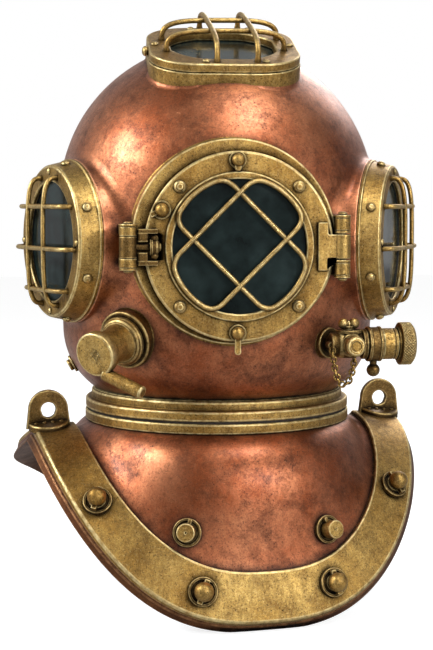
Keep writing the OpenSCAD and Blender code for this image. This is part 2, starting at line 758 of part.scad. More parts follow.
// Door of the front window, hinged on the viewer's right
door_back = seat_y + fit;
door_front = door_back + door_h;
step_front = door_front + step_h;
door_glass_r = view_r + 2.5;
pin_y = door_front;
leaf_h = 21;
leaf_t = 3.6;
latch_pin_y = door_front + 3.5;
eye_h = 18.8;
nut_near = 18.7;
nut_body_r = 8;
nut_l = 8;
wing_r = 10.7;
prong_far = 17.6;
notch_x = -latch_x + nut_near + nut_l + 2.8;
notch_h = wing_r + 1.3;
module door_place() {
    facing_front(door_x, door_z) children();
}
module at_hinge() {
    translate([hinge_x, -pin_y, door_z]) children();
}
module at_latch() {
    translate([-latch_x, -latch_pin_y, door_z]) children();
}
module door_ring() {
    color(brass) difference() {
        union() {
            difference() {
                door_place() rotate_extrude($fn = 96)
                    polygon([[door_glass_r, door_back], [door_r, door_back], [door_r, door_front - edge],
                        [door_r - edge, door_front], [step_r, door_front], [step_r, step_front - 0.6],
                        [step_r - 0.6, step_front], [view_r + 0.6, step_front], [view_r, step_front - 0.6],
                        [view_r, door_back + glass_h + 2.3], [door_glass_r, door_back + glass_h + 2.3]]);
                translate([notch_x - reach, -step_front, door_z - notch_h])
                    cube([reach, 2 * step_h + door_h + 2, 2 * notch_h]);
            }
            // Fork that takes the swing bolt
            for (side = [-1, 1]) translate([-latch_x + barrel_r + 0.8, -latch_pin_y - 4,
                door_z + (side > 0 ? notch_h : -notch_h - 4)])
                cube([17, latch_pin_y + 4 - door_back - 1, 4]);
            intersection() {
                for (side = [-1, 1]) translate([-latch_x + barrel_r + 0.8, -latch_pin_y - 4,
                    door_z + (side > 0 ? shank_r + 1 : -notch_h - 1)])
                    cube([12, latch_pin_y + 4 - door_back - 1, notch_h - shank_r]);
                at_latch() cylinder(r = prong_far, h = 2 * reach, center = true, $fn = round_fn);
            }
            // Leaf of the hinge
            translate([hinge_x - 22, -door_front - leaf_t, door_z - leaf_h]) cube([9, leaf_t, 2 * leaf_h]);
            translate([hinge_x - 15, -door_front - leaf_t, door_z - leaf_h / 2]) cube([15, leaf_t, leaf_h]);
            at_hinge() cylinder(r = knuckle_r, h = leaf_h, center = true, $fn = round_fn);
        }
        at_hinge() cylinder(r = pin_r + pin_gap, h = 2 * leaf_h, center = true, $fn = round_fn);
    }
}
module door_gasket() {
    color(leather) door_place()
        ring(door_glass_r - 0.2, view_r + 0.5, door_back + glass_h + 1.1, door_back + glass_h + 2.3);
}
module door_glass() {
    color(window_glass) door_place() translate([0, 0, door_back + 1])
        cylinder(r = door_glass_r - 0.2, h = glass_h, $fn = 96);
}
// Two closed loops of rod, crossed at right angles, that lie on the raised step
loop_r = view_r + 1.8;
loop_trim = 9;
loop_run = 11;
function corner(p, c, q) =
    [for (t = [0.25, 0.5, 0.75]) (1 - t) * (1 - t) * p + 2 * t * (1 - t) * c + t * t * q];
function bend(a, side) = [side * loop_r * cos(a), loop_r * sin(a), 0];
function loop_path(mid) = let(low = mid - front_rod_d, high = mid + front_rod_d,
    al = asin(low / loop_r), ah = asin(high / loop_r),
    sl = loop_r * cos(al), sh = loop_r * cos(ah), n = 6,
    up = [for (i = [0:n]) al + loop_trim + (ah - al - 2 * loop_trim) * i / n])
    concat([[-sl + loop_run, low, 0], [0, low, 0], [sl - loop_run, low, 0]],
        corner([sl - loop_run, low, 0], [sl, low, 0], bend(up[0], 1)),
        [for (a = up) bend(a, 1)],
        corner(bend(up[n], 1), [sh, high, 0], [sh - loop_run, high, 0]),
        [[sh - loop_run, high, 0], [0, high, 0], [-sh + loop_run, high, 0]],
        corner([-sh + loop_run, high, 0], [-sh, high, 0], bend(up[n], -1)),
        [for (i = [n:-1:0]) bend(up[i], -1)],
        corner(bend(up[0], -1), [-sl, low, 0], [-sl + loop_run, low, 0]));
module door_guard() {
    rise = front_guard_up * cos(45);
    color(brass) door_place() translate([0, 0, step_front + rod_r + 0.1]) union() {
        rotate([0, 0, 45]) rod(loop_path(rise), [0, 0, 1], rod_r, 8, true);
        rotate([0, 0, -45]) rod(loop_path(rise), [0, 0, 1], rod_r, 8, true);
    }
}
bolt_circle_r = 73.5;
clamp_r = 75;
side_bolt_angle = 154.7;
module door_bolts() {
    color(brass) door_place() translate([0, 0, door_front]) {
        for (i = [0:3]) rotate([0, 0, 45 + 90 * i]) translate([bolt_circle_r, 0, 0]) button(5.3, 4);
        rotate([0, 0, side_bolt_angle]) translate([clamp_r, 0, 0]) {
            cylinder(r = 7.2, h = 2, $fn = 24);
            translate([0, 0, 2]) button(6, 5);
        }
        for (side = [-1, 1]) translate([-1.8, side * clamp_r, 0]) {
            cylinder(r = 7.4, h = 3, $fn = 24);
            translate([0, 0, 3]) button(6.2, 6);
            translate([-3, side > 0 ? -8.5 : -19, 0]) cube([6, side > 0 ? 8 : 16, 3]);
        }
    }
}
// Bonnet: fixed half of the hinge and its pin
fixed_near = leaf_h / 2 + 1;
fixed_far = leaf_h / 2 + 17;
module bracket(x, y, r, near, far, bore) {
    difference() {
        for (side = [-1, 1]) translate([x, -y, door_z + (side > 0 ? near : -far)]) {
            cylinder(r = r, h = far - near, $fn = round_fn);
            translate([-r + edge, 0, 0]) cube([2 * (r - edge), y - 2 * reach, far - near]);
        }
        translate([x, -y, door_z]) cylinder(r = bore, h = 4 * reach, center = true, $fn = round_fn);
        bonnet_solid();
        seat_block();
        port_cone(x > 0 ? 1 : -1, 0.05);
        for (side = [-1, 1]) side_place(side) cylinder(r = side_spigot_r, h = 2 * dome_r, $fn = 48);
    }
}
module hinge_bracket() {
    color(brass) bracket(hinge_x, pin_y, knuckle_r, fixed_near, fixed_far, pin_r + pin_gap);
}
module hinge_pin() {
    color(brass) at_hinge() {
        cylinder(r = pin_r, h = 2 * fixed_far + 1, center = true, $fn = round_fn);
        for (side = [-1, 1]) translate([0, 0, side * (fixed_far + 0.5)]) rotate([side > 0 ? 0 : 180, 0, 0])
            button(pin_r + 1.2, 2.4);
    }
}
ear_half = 20;
module bolt_bracket() {
    color(brass) bracket(-latch_x, latch_pin_y, barrel_r, eye_h / 2 + 0.4, ear_half, pin_r + pin_gap);
}
module bolt_pin() {
    pin_half = ear_half + 0.5;
    color(brass) at_latch() {
        cylinder(r = pin_r, h = 2 * pin_half, center = true, $fn = round_fn);
        for (side = [-1, 1]) translate([0, 0, side * pin_half]) rotate([side > 0 ? 0 : 180, 0, 0])
            button(pin_r + 1, 1.8);
    }
}
// Swing bolt that drops into the door's fork, and its wing nut
module swing_bolt() {
    color(brass) at_latch() difference() {
        union() {
            cylinder(r = barrel_r, h = eye_h, center = true, $fn = round_fn);
            rotate([0, 90, 0]) cylinder(r = shank_r, h = nut_near + nut_l + 1.6, $fn = round_fn);
        }
        cylinder(r = pin_r + pin_gap, h = 2 * eye_h, center = true, $fn = round_fn);
    }
}
module wing_nut() {
    color(dark_brass) at_latch() rotate([0, 90, 0]) translate([0, 0, nut_near]) difference() {
        union() {
            cylinder(r = nut_body_r - 1.6, h = nut_l, $fn = round_fn);
            for (side = [-1, 1]) translate([side * (wing_r - 4), 0, 3.4]) rotate([90, 0, 0])
                cylinder(r = 3.4, h = 4, center = true, $fn = 24);
            translate([-wing_r + 4, -2, 0.6]) cube([2 * wing_r - 8, 4, 5]);
        }
        translate([0, 0, -edge]) cylinder(r = shank_r + pin_gap, h = nut_l + 2 * edge, $fn = round_fn);
    }
}

// Exhaust valve: flanged base, body, and knob with a rod lever
module exhaust_place() {
    facing(-exhaust_angle, exhaust_z) translate([0, 0, waist_r - 1]) rotate([exhaust_tilt, 0, 0]) children();
}
exhaust_flange_h = 7;
exhaust_body_h = 34;
spindle_r = 4;
module exhaust_base() {
    color(dark_brass) difference() {
        exhaust_place() {
            translate([0, 0, -14]) edged_ring(exhaust_flange_r, valve_bore_r, 0, 14 + exhaust_flange_h);
            edged_ring(exhaust_flange_r - 4.4, valve_bore_r, exhaust_flange_h, exhaust_flange_h + 5);
            edged_ring(exhaust_flange_r - 7, valve_bore_r, exhaust_flange_h + 5, exhaust_flange_h + 8);
        }
        bonnet_solid();
    }
}
exhaust_body_z = exhaust_flange_h + 8;
exhaust_knob_z = exhaust_flange_h + exhaust_body_h + 1.5;
exhaust_knob_h = 10;
module exhaust_body() {
    color(brass) exhaust_place() difference() {
        translate([0, 0, exhaust_body_z]) cylinder(r = exhaust_knob_r - 3.2,
            h = exhaust_knob_z - fit - exhaust_body_z, $fn = round_fn);
        translate([0, 0, exhaust_body_z + 6]) cylinder(r = spindle_r + pin_gap, h = reach, $fn = round_fn);
    }
}
lever_angle = -21.5;
lever_offset = 14.7;
module exhaust_knob() {
    color(brass) exhaust_place() difference() {
        union() {
            translate([0, 0, exhaust_knob_z])
                edged_ring(exhaust_knob_r, 0, 0, exhaust_knob_h);
            translate([0, 0, exhaust_body_z + 7]) cylinder(r = spindle_r,
                h = exhaust_knob_z - exhaust_body_z - 6, $fn = round_fn);
            rotate([0, 0, lever_angle]) translate([exhaust_knob_r - 8, -lever_offset,
                exhaust_knob_z + lever_r + 0.1]) rotate([0, 90, 0])
                cylinder(r = lever_r, h = lever_l - exhaust_knob_r + 8, $fn = round_fn);
        }
        translate([0, 0, exhaust_knob_z + exhaust_knob_h - 0.8]) cylinder(r = 4.5, h = 2, $fn = 32);
    }
}

// Supply cock: flange on the wall, body, plug on a keeper chain, ball lever, tube and handwheel
stub_l = 21;
cock_swing = 3;
cock_d = waist_r + stub_l;
cock_x = cock_d * sin(cock_angle);
cock_y = -cock_d * cos(cock_angle);
module cock_place() {
    translate([cock_x, cock_y, cock_z]) rotate([0, 0, cock_swing]) children();
}
module along_cock() {
    cock_place() rotate([0, 90, 0]) children();
}
cock_back = -13;
lever_near = 20.6;
lever_w = 12.6;
collar_shaft_r = 9;
tube_end = 47.6;
eye_x = -14;
eye_out = -13;
eye_ring_r = 3;
eye_wire = 0.8;
plug_eye_d = 17;
plug_eye_z = 11.4;
module small_eye(r, wire) {
    rotate_extrude($fn = 24) translate([r, 0]) circle(r = wire, $fn = 16);
}
module cock_base() {
    color(dark_brass) difference() {
        facing(cock_angle, cock_z) translate([0, 0, waist_r - 12]) rotate_extrude($fn = 96)
            polygon([[5, 0], [cock_flange_r, 0], [cock_flange_r, 15], [cock_flange_r - edge, 16], [8, 16],
                [8, stub_l + 12], [5, stub_l + 12]]);
        bonnet_solid();
        along_cock() translate([0, 0, cock_back]) cylinder(r = cock_body_r + 0.05, h = reach, $fn = 96);
    }
}
module cock_body() {
    color(dark_brass) {
        difference() {
            union() {
                along_cock() {
                    translate([0, 0, cock_back]) cylinder(r = cock_body_r, h = lever_near - cock_back - fit,
                        $fn = round_fn);
                    translate([0, 0, lever_near - 5]) cylinder(r = cock_body_r + 3, h = 4.4,
                        $fn = round_fn);
                }
                cock_place() translate([4, 0, 0]) cylinder(r = 8, h = 13, $fn = round_fn);
                cock_place() translate([4, 0, 10.5]) cylinder(r = 11.5, h = 2.5, $fn = round_fn);
                cock_place() translate([eye_x, 0, 0]) rotate([90, 0, 0]) {
                    cylinder(r = 3.2, h = -eye_out - eye_ring_r, $fn = 24);
                    translate([0, 0, -eye_out]) rotate([0, 90, 0]) small_eye(eye_ring_r, eye_wire);
                }
            }
            cock_place() translate([4, 0, 2]) cylinder(r = 2.5 + pin_gap, h = reach, $fn = 32);
            cock_place() translate([plug_x, 0, 0]) rotate([0, 0, plug_swing]) rotate([90, 0, 0])
                cylinder(r = 6 + pin_gap, h = reach, $fn = round_fn);
        }
    }
}
plug_swing = 5;
plug_x = 3.6;
plug_l = 24;
module cock_plug() {
    color(brass) cock_place() translate([plug_x, 0, 0]) rotate([0, 0, plug_swing]) rotate([90, 0, 0]) {
        translate([0, 0, 2]) cylinder(r = 6, h = 10, $fn = round_fn);
        translate([0, 0, cock_body_r + 1.3]) cylinder(r = 9, h = plug_l - cock_body_r - 3.3, $fn = round_fn);
        translate([0, 0, plug_l - 2]) cylinder(r1 = 9, r2 = 7.2, h = 2, $fn = round_fn);
        translate([0, -plug_eye_z, plug_eye_d]) rotate([0, 90, 0]) small_eye(eye_ring_r, eye_wire);
    }
}
ear_r = 4.2;
ear_x = 5.2;
ear_z = 19;
ear_t = 5;
module thumb_screw() {
    color(brass) cock_place() translate([4, 0, 0]) {
        translate([0, 0, 6.6]) cylinder(r = 2.5, h = 8, $fn = 32);
        translate([0, 0, 13.3]) cylinder(r = 4.4, h = 3, $fn = 32);
        translate([0, 0, 15]) cylinder(r = 3, h = ear_z - 14, $fn = 32);
        translate([-ear_x, -ear_t / 2 + 1, ear_z - 2]) cube([2 * ear_x, ear_t - 2, 4]);
        for (x = [-ear_x, ear_x]) translate([x, 0, ear_z]) rotate([90, 0, 0])
            cylinder(r = ear_r, h = ear_t, center = true, $fn = 32);
    }
}
ball_drop = 23.5;
ball_r = 6;
module cock_lever() {
    color(dark_brass) along_cock() difference() {
        union() {
            translate([0, 0, lever_near]) edged_ring(tube_r + 1.8, 1, 0, lever_w);
            translate([ball_drop, 0, lever_near + lever_w * 0.5]) sphere(r = ball_r, $fn = 32);
            translate([tube_r - 2, 0, lever_near + lever_w * 0.5]) rotate([0, 90, 0])
                cylinder(r = 3.6, h = ball_drop - tube_r + 2, $fn = 24);
        }
        cylinder(r = collar_shaft_r + pin_gap, h = 3 * reach, center = true, $fn = round_fn);
    }
}
module outlet_tube() {
    start = lever_near + lever_w + fit;
    color(brass) along_cock() difference() {
        union() {
            translate([0, 0, lever_near - fit]) cylinder(r = collar_shaft_r, h = start - lever_near + edge,
                $fn = round_fn);
            translate([0, 0, start]) cylinder(r = tube_r, h = tube_end - start, $fn = round_fn);
        }
        translate([0, 0, start + 2]) cylinder(r = spindle_r + pin_gap, h = reach, $fn = round_fn);
    }
}
knurls = 44;
knurl_h = 0.6;
module handwheel() {
    near = tube_end + 0.5;
    color(brass) along_cock() {
        translate([0, 0, near]) cylinder(r = tube_r + 1, h = 2, $fn = round_fn);
        translate([0, 0, near + 2]) linear_extrude(height = wheel_w - 4)
            polygon([for (i = [0:2 * knurls - 1])
                (wheel_r - (i % 2) * knurl_h) * [cos(180 * i / knurls), sin(180 * i / knurls)]]);
        translate([0, 0, near + wheel_w - 2]) cylinder(r1 = wheel_r - knurl_h, r2 = wheel_r - 2.5, h = 2,
            $fn = round_fn);
        translate([0, 0, lever_near + lever_w + 4]) cylinder(r = spindle_r,
            h = near - lever_near - lever_w - 3, $fn = round_fn);
    }
}
// Keeper chain of oval links. It hangs from the body's eye to the plug's eye in a catenary,
// whose arc length gives the links their even pitch
link_wire = 0.7;
link_half_w = 1.95;
link_slack = 0.2;
eye_drop = eye_ring_r - eye_wire - link_slack / 2;
chain_start = cock_at([eye_x, eye_out, -eye_drop]);
chain_end = cock_at([plug_x + sin(plug_swing) * plug_eye_d, -cos(plug_swing) * plug_eye_d,
    -plug_eye_z - eye_drop]);
function cock_at(v) = [cock_x + v[0] * cos(cock_swing) - v[1] * sin(cock_swing),
    cock_y + v[0] * sin(cock_swing) + v[1] * cos(cock_swing), cock_z + v[2]];
function sinh(x) = (exp(x) - exp(-x)) / 2;
function asinh(x) = ln(x + sqrt(x * x + 1));
// Catenary constant whose curve of length l spans the gap g across the drop v
function sag_of(g, v, l, low, high, n) = let(a = (low + high) / 2)
    n == 0 ? a : 2 * a * sinh(g / 2 / a) > sqrt(l * l - v * v) ? sag_of(g, v, l, a, high, n - 1)
    : sag_of(g, v, l, low, a, n - 1);
chain_gap = norm([chain_end[0] - chain_start[0], chain_end[1] - chain_start[1]]);
chain_fall = chain_end[2] - chain_start[2];
chain_a = sag_of(chain_gap, chain_fall, chain_l, chain_gap / 20, chain_gap * 4, 30);
chain_mid = chain_a * ln(sqrt((chain_l + chain_fall) / (chain_l - chain_fall)));
function chain_at(s) = let(s0 = chain_a * sinh((chain_mid - chain_gap / 2) / chain_a),
        x = chain_a * asinh((s + s0) / chain_a), x0 = chain_mid - chain_gap / 2, t = (x - x0) / chain_gap,
        rise = sqrt(pow(s + s0, 2) + pow(chain_a, 2)) - sqrt(pow(s0, 2) + pow(chain_a, 2)))
    [chain_start[0] + (chain_end[0] - chain_start[0]) * t,
        chain_start[1] + (chain_end[1] - chain_start[1]) * t,
        chain_start[2] + rise];
link_count = 2 * round(chain_l / link_pitch / 2) + 1;
link_gap = chain_l / link_count;
module chain_link(s, turn, half_l, half_w) {
    way = unit(chain_at(s + 0.1) - chain_at(s - 0.1));
    translate(chain_at(s)) rotate([0, acos(way[2]), atan2(way[1], way[0])]) rotate([0, 0, turn])
        rod([for (k = [0:9]) [half_w * cos(36 * k), 0, half_l * sin(36 * k)]],
            [0, 1, 0], link_wire, 5, true);
}
module keeper_chain() {
    color(brass) for (i = [0:link_count - 1])
        chain_link((i + 0.5) * link_gap, i % 2 * 90, link_gap / 2 + link_wire + link_slack / 2,
            link_half_w);
}

// Rear elbows for the air hose and the speech line
elbow_lead = 8;
elbow_tail = 18;
elbow_swivel = 62;
module elbow_place(side) {
    facing(180 + side * elbow_angle, elbow_z) rotate([0, 0, side * elbow_swivel]) children();
}
module elbow_mouth() {
    translate([0, -elbow_bend_r, dome_r + elbow_lead + elbow_bend_r]) rotate([90, 0, 0]) children();
}
module elbow(side) {
    start = dome_r - 10;
    turn = dome_r + elbow_lead;
    color(brass) {
        difference() {
            elbow_place(side) {
                ring(elbow_r, elbow_bore_r, start, turn);
                ring(elbow_r + 9, elbow_r - 2, start, dome_r + 3);
                translate([0, -elbow_bend_r, turn]) rotate([90, 0, 90]) rotate_extrude(angle = 90, $fn = 48)
                    translate([elbow_bend_r, 0]) difference() {
                        circle(r = elbow_r, $fn = 48);
                        circle(r = elbow_bore_r, $fn = 48);
                    }
                elbow_mouth() ring(elbow_r, elbow_bore_r, 0, elbow_tail);
            }
            bonnet_solid();
        }
    }
}
module left_elbow() {
    elbow(1);
}
module right_elbow() {
    elbow(-1);
}
module left_elbow_cap() {
    color(brass) elbow_place(1) elbow_mouth() {
        translate([0, 0, elbow_tail + 0.2]) cylinder(r = elbow_r + 3, h = 9, $fn = 6);
        translate([0, 0, elbow_tail - 8]) cylinder(r = elbow_bore_r - 0.3, h = 9, $fn = round_fn);
    }
}
// Safety latch: lies back on the copper and swings up between two ears on the bonnet's ring
module safety_latch() {
    color(brass) translate([0, latch_y, latch_z]) rotate([latch_lie, 0, 0]) difference() {
        union() {
            rotate([0, 90, 0])
                cylinder(r = latch_ball_r, h = latch_w - 2 * fit, center = true, $fn = round_fn);
            translate([-latch_w / 2 + fit, 0, -3]) cube([latch_w - 2 * fit, latch_l, 6]);
            translate([0, latch_l, 0]) sphere(r = latch_ball_r, $fn = 32);
        }
        rotate([0, 90, 0])
            cylinder(r = latch_pin_r + pin_gap, h = 2 * latch_w, center = true, $fn = round_fn);
    }
}
module latch_stop() {
    color(brass) difference() {
        for (side = [-1, 1]) translate([side * (latch_w / 2 + 2) - 1.5, ring_r - 4, washer_h / 2 + 1])
            cube([3, latch_y - ring_r + 7, ring_h - 2]);
        cylinder(r = ring_r + 0.05, h = reach, $fn = fine_fn);
    }
}

corselet_shell();
corselet_neck_ring();
cast_rim();
front_band();
rear_band();
left_lug();
right_lug();
band_studs();
band_nuts();
chest_stud_bases();
chest_studs();
latch_bracket();
neck_washer();
bonnet_shell();
bonnet_neck_ring();
latch_stop();
front_seat();
left_port_collar();
right_port_collar();
left_port_frame();
right_port_frame();
left_port_glass();
right_port_glass();
left_port_gasket();
right_port_gasket();
left_port_guard();
right_port_guard();
side_port_screws();
top_port_collar();
top_port_base();
top_port_frame();
top_port_glass();
top_port_guard();
top_port_screws();
hinge_bracket();
hinge_pin();
bolt_bracket();
bolt_pin();
exhaust_base();
exhaust_body();
cock_base();
cock_body();
cock_plug();
keeper_chain();
outlet_tube();
left_elbow();
right_elbow();
left_elbow_cap();
door_ring();
door_glass();
door_gasket();
door_guard();
door_bolts();
swing_bolt();
wing_nut();
exhaust_knob();
cock_lever();
handwheel();
thumb_screw();
safety_latch();
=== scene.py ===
# %% [markdown]
# # A copper and brass diving helmet
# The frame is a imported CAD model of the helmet: sixty plain solids on eleven moving bodies. This lesson
# dresses it. Each visible solid gets a finer surface of the same size in the same place, worked out with
# numpy, and every surface gets a metal, glass or leather that is made of nodes. Sizes are written in
# millimetres, as the helmet's maker would, and turned into metres when a mesh is made.

# %% Load the frame
import json
import math

import bmesh
import bpy
import numpy as np
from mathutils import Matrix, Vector


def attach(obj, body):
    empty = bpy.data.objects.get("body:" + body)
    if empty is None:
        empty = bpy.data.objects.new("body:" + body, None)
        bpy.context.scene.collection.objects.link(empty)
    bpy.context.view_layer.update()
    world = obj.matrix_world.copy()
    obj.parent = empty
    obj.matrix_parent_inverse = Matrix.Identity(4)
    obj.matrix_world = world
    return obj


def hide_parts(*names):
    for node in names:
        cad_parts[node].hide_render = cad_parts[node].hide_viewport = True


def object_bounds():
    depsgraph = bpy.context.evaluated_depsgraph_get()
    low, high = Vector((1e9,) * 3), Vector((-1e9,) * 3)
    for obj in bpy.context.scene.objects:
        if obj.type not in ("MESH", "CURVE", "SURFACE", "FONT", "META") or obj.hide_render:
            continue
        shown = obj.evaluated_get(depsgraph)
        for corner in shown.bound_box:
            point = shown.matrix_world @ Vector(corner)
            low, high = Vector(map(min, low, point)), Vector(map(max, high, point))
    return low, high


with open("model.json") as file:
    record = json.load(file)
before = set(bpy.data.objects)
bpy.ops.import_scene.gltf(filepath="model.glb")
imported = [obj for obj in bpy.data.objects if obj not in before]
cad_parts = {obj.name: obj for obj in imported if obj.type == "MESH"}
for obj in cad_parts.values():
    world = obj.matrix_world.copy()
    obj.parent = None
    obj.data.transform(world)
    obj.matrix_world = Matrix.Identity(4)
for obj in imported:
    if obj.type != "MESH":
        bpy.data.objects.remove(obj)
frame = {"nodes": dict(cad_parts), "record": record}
cad_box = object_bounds()
record = frame["record"]
body_of = {}
for body_name, body in record["behaviour"]["bodies"].items():
    for node in body["nodes"] if isinstance(body, dict) else body:
        body_of[node] = body_name
slot_of = {row["node"]: row["material_slot"] for row in record["subparts"]}

# %% [markdown]
# ## Camera
# The helmet was photographed from a little to its right side and from just above its middle. The camera
# aims at a point on the neck's axis from a metre and a half away. The lens is written from the picture's
# height in pixels, because the longer side of the picture sets it.

# %% Place the camera
camera = bpy.data.objects.new("camera", bpy.data.cameras.new("camera"))
bpy.context.collection.objects.link(camera)
bpy.context.scene.camera = camera
AROUND, ABOVE = math.radians(-5.8), math.radians(4.77)
DISTANCE, AIM = 1.4798, Vector((0, 0, 0.0783))
PICTURE_H, FOCAL_PX, SENSOR = 650, 1510, 36
towards = Vector((math.sin(AROUND) * math.cos(ABOVE), -math.cos(AROUND) * math.cos(ABOVE), math.sin(ABOVE)))
camera.location = AIM + towards * DISTANCE
camera.rotation_euler = (-towards).to_track_quat("-Z", "Y").to_euler()
camera.data.sensor_fit = "AUTO"
camera.data.sensor_width = SENSOR
camera.data.lens = SENSOR * FOCAL_PX / PICTURE_H
camera.data.clip_end = 20
print("camera at", [round(v, 3) for v in camera.location])

# %% [markdown]
# ## Tools for nodes
# The studio and the finishes are trees of shader nodes. A few helpers add a node, fill its sockets and mix
# values and colours, so that each recipe below reads as a list of what it mixes.

# %% Write the node helpers


def fill(tree, node, sockets):
    """Fills sockets of a node, by name or number: an output is linked, anything else is a plain value."""
    for key, value in sockets.items():
        if isinstance(value, bpy.types.NodeSocket):
            tree.links.new(value, node.inputs[key])
        else:
            node.inputs[key].default_value = value
    return node


def add(tree, kind, sockets=None):
    """New shader node of a kind, with its sockets filled."""
    return fill(tree, tree.nodes.new("ShaderNode" + kind), sockets or {})


def maths(tree, operation, *values):
    """Result of a maths node, kept between 0 and 1."""
    node = add(tree, "Math")
    node.operation, node.use_clamp = operation, True
    return fill(tree, node, dict(enumerate(values))).outputs[0]


def blend(tree, factor, a, b):
    """Colour a where factor is 0 and b where it is 1. Each is a colour or an output."""
    node = add(tree, "Mix")
    node.data_type = "RGBA"
    return fill(tree, node, {"Factor": factor, 6: a, 7: b}).outputs[2]


def noise(tree, vector, scale, detail=3, rough=0.55, low=0.35, high=0.65):
    """Noise of a given scale, whose values from low to high are spread over 0 to 1."""
    tex = add(tree, "TexNoise", {"Vector": vector, "Scale": scale, "Detail": detail, "Roughness": rough})
    spread = {"Value": tex.outputs[0], "From Min": low, "From Max": high}
    return add(tree, "MapRange", spread).outputs["Result"]


def seen(tree, paths):
    """1 for rays that come from the camera, straight or through glass, and 0 for all others."""
    return maths(tree, "MAXIMUM", paths.outputs["Is Camera Ray"], paths.outputs["Is Transmission Ray"])


def material(name):
    """New material, with its node tree and its Principled shader."""
    made = bpy.data.materials.new(name)
    made.use_nodes = True
    return made, made.node_tree, made.node_tree.nodes["Principled BSDF"]


# %% [markdown]
# ## Studio
# Polished metal shows its surroundings more than its own colour, so the studio is part of the finish. Three
# small, slightly cool lamps, high on the left, overhead and in front on the right, give the bright patches
# on the metal. Four weak white ones fill the shadows. The floor is pale and takes a shadow. Floor and world
# are bright where the camera sees them. For gloss the world runs from dark grey in front to middle grey
# behind, and its soft light is an even grey.

# %% Light the studio
scene = bpy.context.scene
scene.view_settings.view_transform = "Standard"
WHITE, COOL, COOLER = (1, 1, 1), (0.93, 0.98, 1.0), (0.91, 0.97, 1.0)
# Each lamp has a name, a place, a point that it aims at, a width and height, watts and a colour.
for name, place, aim, size, watts, colour in (
        ("lamp_left", (-1.75, -0.28, 1.2), (0, 0, 0.1), (0.5, 0.5), 40, COOLER),
        ("lamp_top", (0.5, -0.86, 1.8), (0, 0, 0.1), (0.42, 0.46), 23, COOL),
        ("lamp_front", (0.95, -1.75, 0.55), (0, 0, 0), (0.26, 0.3), 17, COOL),
        ("lamp_fill", (0.6, -2.3, 1.0), (0, 0, 0.05), (1.0, 0.8), 9, WHITE),
        ("lamp_right", (2.1, -0.9, 0.7), (0, 0, 0.05), (0.9, 1.6), 4, WHITE),
        ("lamp_back", (0.9, 1.6, 1.3), (0, 0, 0.1), (1.0, 1.0), 16, WHITE),
        ("lamp_low_left", (-1.7, -0.5, 0.25), (0, 0, 0), (0.6, 1.2), 5.5, WHITE)):
    data = bpy.data.lights.new(name, "AREA")
    data.shape, data.size, data.size_y = "RECTANGLE", *size
    data.energy, data.color = watts, colour
    lit = bpy.data.objects.new(name, data)
    lit.location = place
    lit.rotation_euler = (Vector(aim) - Vector(place)).to_track_quat("-Z", "Y").to_euler()
    bpy.context.collection.objects.link(lit)

SOFT_GREY, GLOSS_FRONT, GLOSS_BACK = 0.36, 0.24, 0.5
scene.world = bpy.data.worlds.new("studio")
scene.world.use_nodes = True
tree = scene.world.node_tree
tree.nodes.clear()
paths = add(tree, "LightPath")
way = add(tree, "SeparateXYZ", {0: add(tree, "TexCoord").outputs["Generated"]})
back = add(tree, "MapRange", {"Value": way.outputs["Y"], "From Min": 0.1, "From Max": 1.0,
                              "To Min": GLOSS_FRONT, "To Max": GLOSS_BACK})
back.interpolation_type = "SMOOTHSTEP"
gloss = add(tree, "Mix", {"Factor": paths.outputs["Is Glossy Ray"], "A": SOFT_GREY,
                          "B": back.outputs["Result"]})
strength = add(tree, "Mix", {"Factor": seen(tree, paths), "A": gloss.outputs["Result"], "B": 1.0})
sky = add(tree, "Background", {"Color": (1, 1, 1, 1), "Strength": strength.outputs["Result"]})
add(tree, "OutputWorld", {"Surface": sky.outputs[0]})

# %% Lay the floor
FLOOR_HALF, FLOOR_GAP, FLOOR_GLOW, FLOOR_GREY = 6, 0.0005, 0.8, (0.42, 0.42, 0.42, 1)
floor_z = cad_box[0].z - FLOOR_GAP
corners = [(x * FLOOR_HALF, y * FLOOR_HALF, floor_z) for x, y in ((-1, -1), (1, -1), (1, 1), (-1, 1))]
floor_mesh = bpy.data.meshes.new("floor")
floor_mesh.from_pydata(corners, [], [(0, 1, 2, 3)])
floor = bpy.data.objects.new("floor", floor_mesh)
bpy.context.collection.objects.link(floor)
pale, tree, shader = material("pale_floor")
glow = maths(tree, "MULTIPLY", seen(tree, add(tree, "LightPath")), FLOOR_GLOW)
fill(tree, shader, {"Base Color": FLOOR_GREY, "Roughness": 0.9, "Specular IOR Level": 0.1,
                    "Emission Color": (1, 1, 1, 1), "Emission Strength": glow})
floor_mesh.materials.append(pale)
print("floor at", round(floor_z, 4))
